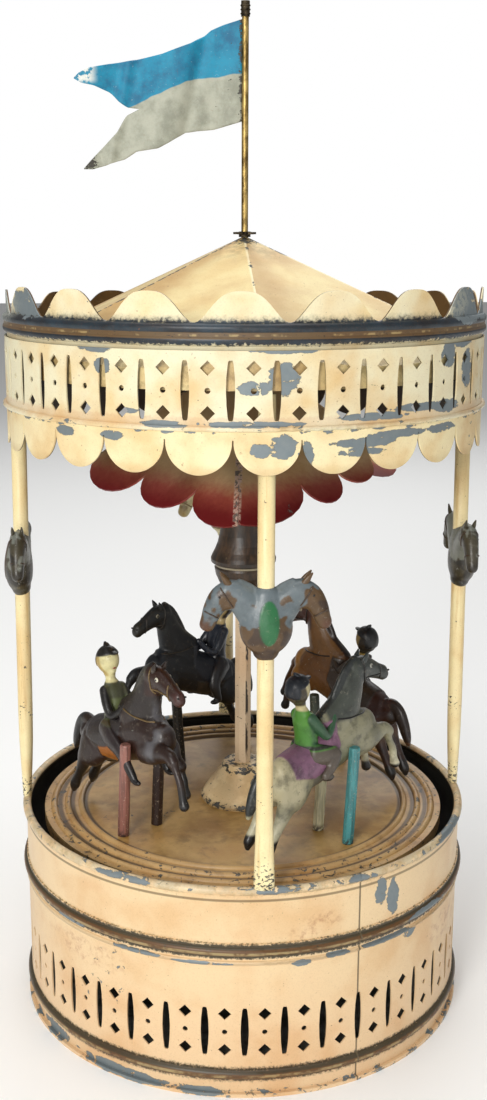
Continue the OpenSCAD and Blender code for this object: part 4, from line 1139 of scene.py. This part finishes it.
def heads(side_name, az, colours):
    fig = Figure(side_name + "_heads_cast", heads_shape)
    x, y, z = fig.co.T
    fig.fill(colours["body"])
    left = 0.3 * soft(x, 2.0, -4.0) if side_name == "front" else 0.0
    shoulder = left - 0.75 * soft(z, 181.0, 175.0) + soft(np.abs(x), 15.0, 9.0) * soft(z, 176.0, 185.0) * 0.85
    shoulder = shoulder + 0.4 * soft(z - np.abs(x) * 0.3, 186.5, 189.5)
    worn = soft(0.8 * patchy(fig.co, 0.16) + 0.45 * patchy(fig.co + 50.0, 0.5) + shoulder, 0.42, 0.62)
    fig.lay(colours["worn"], worn)
    fig.lay(colours["dark"], soft(patchy(fig.co + 90.0, 0.24) - shoulder * 0.6, 0.25, 0.55) * 0.8)
    oval = [(3.4 * math.cos(a), 181.2 + 7.6 * math.sin(a)) for a in np.linspace(0, 2 * math.pi, 20)[:-1]]
    fig.lay(colours["oval"], inside(oval, x - 0.6, z) * soft(y, 0, -1.5), 0.2)
    muzzle = soft(np.abs(x), 17.6, 20.2) * soft(z, 183, 180)
    fig.lay(colours["muzzle"], muzzle)
    for s in (-1, 1):
        fig.strip([(s * 12.4, -1.7, 193.6, 1.3, 0.9), (s * 13.8, -1.9, 195.6, 1.0, 0.7),
                   (s * 15.2, -2.0, 197.4, 0.35, 0.3)], colours["body"])
        fig.strip([(s * 12.4, 1.3, 193.6, 1.3, 0.9), (s * 13.8, 1.5, 195.6, 1.0, 0.7),
                   (s * 15.2, 1.6, 197.4, 0.35, 0.3)], colours["body"])
        for y_side in (-1, 1):
            fig.bead((s * 15.6, y_side * 2.6 - 0.2, 190.0), (0.8, 0.5, 0.8), colours["eye"])
            fig.bead((s * 15.7, y_side * 2.95 - 0.2, 190.0), (0.4, 0.3, 0.4), rgb(16, 14, 12))
    straps(fig, [[(-15.4, 193.0), (-13.4, 189.8), (-11.4, 186.6)],
                 [(15.4, 193.0), (13.4, 189.8), (11.4, 186.6)],
                 [(-20.6, 185.0), (-18.4, 184.0), (-16.2, 182.6)],
                 [(20.6, 185.0), (18.4, 184.0), (16.2, 182.6)]], colours["strap"], 0.28)
    material = cast_paint(side_name + "_heads_finish", seed=az + 30.0, amount=0.5, mottle=0.25)
    return fig.place(stand(az, HEADS_R), "base", [side_name + "_horse_heads"], material,
                     "heads_gilt" if side_name == "rear" else "heads_brown")


BROWN_HEADS = dict(body=rgb(84, 60, 30), worn=rgb(96, 106, 110), oval=rgb(30, 98, 54), muzzle=rgb(84, 50, 26),
                   eye=rgb(40, 26, 18), strap=rgb(60, 42, 24),
                   dark=rgb(48, 30, 18))
GILT_HEADS = dict(body=rgb(196, 184, 140), worn=rgb(132, 110, 62), oval=rgb(186, 172, 126),
                  muzzle=rgb(150, 128, 76), eye=rgb(60, 40, 30), strap=rgb(110, 86, 44),
                  dark=rgb(96, 70, 32))
SIDE_HEADS = dict(BROWN_HEADS, body=rgb(66, 60, 44), worn=rgb(120, 122, 112), oval=rgb(70, 46, 28),
                  muzzle=rgb(46, 40, 30), dark=rgb(30, 26, 20))
for (side_name, az), colours in zip(SIDES.items(), (BROWN_HEADS, SIDE_HEADS, GILT_HEADS, SIDE_HEADS)):
    heads(side_name, az, colours)


# ---------------------------------------------------------------- canopy, sunk a little towards the back
def reshaped(node_name, name, move, material):
    """A copy of a CAD piece with its points moved; move takes and gives arrays in millimetres."""
    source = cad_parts[node_name]
    mesh = source.data.copy()
    mesh.transform(source.matrix_world)
    points = array_of(mesh) / MM
    mesh.vertices.foreach_set("co", (move(points) * MM).ravel())
    mesh.materials.clear()
    mesh.materials.append(material)
    settle(linked(name, mesh), "base", [node_name])


def sunk(points):
    """The ring is lower at the back than at the front."""
    x, y, z = points.T
    return np.stack([x, y, z - SAG * (y + RING_FRONT)], 1)


def sunk_crest(points):
    """The waves at the back are bent down and so stand lower."""
    x, y, z = points.T
    turn = np.degrees(np.abs(np.arctan2(x, -y)))
    drop = 5.2 * soft(turn, 55, 135) * np.clip((z - CREST_FOOT) / CREST_RISE, 0, 1)
    dent = 0.5 * np.sin(np.radians(turn * 5.0)) * soft(z, 280.0, 288.0) * soft(turn, 30, 60)
    return sunk(np.stack([x, y, z - drop - np.maximum(dent, 0)], 1))


def sunk_roof(points):
    """The roof's rim follows the ring, and its apex keeps its height."""
    x, y, z = points.T
    away = np.hypot(x, y) / ROOF_R
    return np.stack([x, y, z - SAG * (y + RING_FRONT) * np.clip(away, 0, 1)], 1)


reshaped("canopy_frieze", "pierced_frieze", sunk, frieze_paint())
reshaped("canopy_valance", "scalloped_valance", sunk, valance_paint())
reshaped("canopy_cresting", "waved_cresting", sunk_crest, cresting_paint())
reshaped("roof", "creased_roof", sunk_roof, roof_paint())


# ---------------------------------------------------------------- columns
def column_shape(bm):
    """A rolled tube that spreads into a flattened foot; x across, y inwards."""
    rings = []
    sides = 24
    for z, wide, deep in ((82.4, 3.4, 1.4), (83.0, 3.75, 1.7), (85.5, 3.75, 1.85), (91, 3.6, 2.05),
                          (98, 3.35, 2.4), (107, 3.05, 2.75),
                          (120, 2.92, 2.9), (180, 2.92, 2.92), (256.8, 2.92, 2.92)):
        lean = (z - COLUMN_FOOT) * math.tan(COLUMN_LEAN)
        angles = [2 * math.pi * k / sides for k in range(sides)]
        rings.append([bm.verts.new((wide * math.cos(a), lean + deep * math.sin(a), z)) for a in angles])
    skin(bm, rings)


column_enamel = column_paint()
for side_name, az in SIDES.items():
    plain_piece(side_name + "_column_tube", column_shape, stand(az, COLUMN_R), "base",
                [side_name + "_column"],
                column_enamel)


# ---------------------------------------------------------------- flag
FLAG_TOP = [(1.2, 380.8), (8, 378.8), (12.6, 376.9), (15, 374.8), (19.2, 372.6), (30, 368.8), (39.5, 366.8),
            (50, 365.2), (57, 363.9), (60.6, 362.0), (62.2, 360.4)]
FLAG_NOTCH_TOP = [(38.7, 349.7), (43, 350.2), (46, 352), (49.2, 355.3), (55, 357.8), (59.5, 358.6),
                  (62.2, 360.0)]
FLAG_NOTCH_LOW = [(38.7, 349.7), (43.5, 347.4), (46.5, 342), (52.1, 336.4), (57, 331.2), (59.3, 328.6)]
FLAG_LOW = [(1.2, 345.4), (11.6, 342.5), (18, 341.9), (21.9, 341.4), (28.5, 337.5), (31.9, 335.8),
            (40, 334.7), (44.5, 331.9), (52, 329.6), (56, 328.3), (59.3, 328.3)]


def along_edge(points, x):
    xs, zs = zip(*points)
    return float(np.interp(x, xs, zs))


def flag_wave(x, z):
    """Sideways place of the sheet; its folds run down and away from the pole."""
    lean = x + 0.22 * (z - 362.0)
    wave = 1.7 * math.sin(math.radians(lean * 10.5)) * min(1.0, x / 14.0)
    crease = 1.5 * math.exp(-(((lean - 17.5) / 2.4) ** 2)) - 1.4 * math.exp(-(((lean - 43.0) / 2.2) ** 2))
    return wave + crease * min(1.0, x / 8.0)


def in_one_order(bm):
    """Makes the faces again, sorted: solidify lists those of the rim in another order each run."""
    bm.verts.index_update()
    outlines = []
    for face in bm.faces:
        corners = [vert.index for vert in face.verts]
        first = corners.index(min(corners))
        outlines.append(corners[first:] + corners[:first])
    for edge in list(bm.edges):
        bm.edges.remove(edge)
    verts = list(bm.verts)
    for corners in sorted(outlines):
        bm.faces.new([verts[corner] for corner in corners])


def flag_shape(bm):
    """A swallow-tailed sheet of tin, bent in folds; x runs from the pole."""
    rows = 26

    def sheet(end, low, top):
        columns = []
        for x in [*np.linspace(1.2, 38.7, 48), *np.linspace(38.7, end, 29)[1:]]:
            x = float(x)
            bottom, height = low(x), top(x)
            column = []
            for k in range(rows + 1):
                z = bottom + (height - bottom) * k / rows
                column.append(bm.verts.new((-x, flag_wave(x, z), z)))
            columns.append(column)
        for a, b in zip(columns, columns[1:]):
            for k in range(rows):
                bm.faces.new((a[k], b[k], b[k + 1], a[k + 1]))

    def middle(x, notch):
        return 361.0 - 11.3 * (x - 1.2) / 37.5 if x < 38.7 else along_edge(notch, x)

    sheet(62.2, lambda x: middle(x, FLAG_NOTCH_TOP), lambda x: along_edge(FLAG_TOP, x))
    sheet(59.3, lambda x: along_edge(FLAG_LOW, x), lambda x: middle(x, FLAG_NOTCH_LOW))
    bmesh.ops.remove_doubles(bm, verts=bm.verts, dist=0.02)
    bmesh.ops.recalc_face_normals(bm, faces=bm.faces)
    bmesh.ops.solidify(bm, geom=list(bm.faces), thickness=FLAG_TIN)
    in_one_order(bm)


plain_piece("folded_flag", flag_shape, Matrix.Rotation(FLAG_TURN, 4, "Z"), "base", ["flag"], flag_paint())


# ---------------------------------------------------------------- camera, floor and light
CAMERA_AWAY = 535.14
CAMERA_UP = 317.15
CAMERA_AZ = -5.0
PITCH = 14.022
ROLL = 0.21

camera = linked("camera", bpy.data.cameras.new("camera"))
camera.data.lens = 45.74
camera.data.sensor_width = 36.0
camera.data.clip_start = 0.01
camera.data.clip_end = 50.0
around = math.radians(CAMERA_AZ)
camera.matrix_world = (
    Matrix.Translation(Vector((math.sin(around) * CAMERA_AWAY, -math.cos(around) * CAMERA_AWAY,
                               CAMERA_UP)) * MM)
    @ Matrix.Rotation(around, 4, "Z")
    @ Matrix.Rotation(math.radians(90.0 - PITCH), 4, "X")
    @ Matrix.Rotation(math.radians(ROLL), 4, "Z")
)
bpy.context.scene.camera = camera

floor_mesh = bpy.data.meshes.new("studio_floor")
half = 4.0
floor_mesh.from_pydata([(-half, -half, 0), (half, -half, 0), (half, half, 0), (-half, half, 0)], [],
                       [(0, 1, 2, 3)])
floor = linked("studio_floor", floor_mesh)
floor_finish = Paint("studio_floor")
grey = floor_finish.mix(floor_finish.noise(400.0, 2.0), (0.95, 0.95, 0.94, 1), (0.97, 0.97, 0.96, 1))
floor_mesh.materials.append(floor_finish.finish(grey, 0.9))


def area_light(name, place, target, size, power, colour=(1, 1, 1)):
    light = bpy.data.lights.new(name, "AREA")
    light.shape = "DISK"
    light.size = size
    light.energy = power
    light.color = colour
    obj = linked(name, light)
    place = Vector(place)
    obj.location = place
    obj.rotation_euler = (Vector(target) - place).to_track_quat("-Z", "Y").to_euler()


area_light("key", (-0.6, -1.25, 0.66), (0, 0, 0.16), 0.45, 12.2, (1.0, 0.985, 0.955))
area_light("front", (-0.05, -1.5, 0.12), (0, 0, 0.18), 0.6, 2.7)
area_light("fill", (0.95, -0.85, 0.45), (0, 0, 0.18), 0.9, 1.1, (0.95, 0.97, 1.0))
area_light("top", (-0.1, -0.1, 1.5), (0, 0, 0.2), 1.2, 12.0)
area_light("back", (0.25, 1.1, 0.9), (0, 0, 0.2), 0.9, 4.0)
world = bpy.data.worlds.new("studio")
bpy.context.scene.world = world
world.use_nodes = True
nodes = world.node_tree.nodes
lit = nodes["Background"]
lit.inputs[0].default_value = (1, 1, 1, 1)
lit.inputs[1].default_value = 0.26
seen = nodes.new("ShaderNodeBackground")
seen.inputs[1].default_value = 1.0
seen.inputs[0].default_value = (1, 1, 1, 1)
path = nodes.new("ShaderNodeLightPath")
choice = nodes.new("ShaderNodeMixShader")
links = world.node_tree.links
links.new(path.outputs["Is Camera Ray"], choice.inputs[0])
links.new(lit.outputs[0], choice.inputs[1])
links.new(seen.outputs[0], choice.inputs[2])
links.new(choice.outputs[0], nodes["World Output"].inputs[0])
bpy.context.scene.view_settings.view_transform = "Standard"
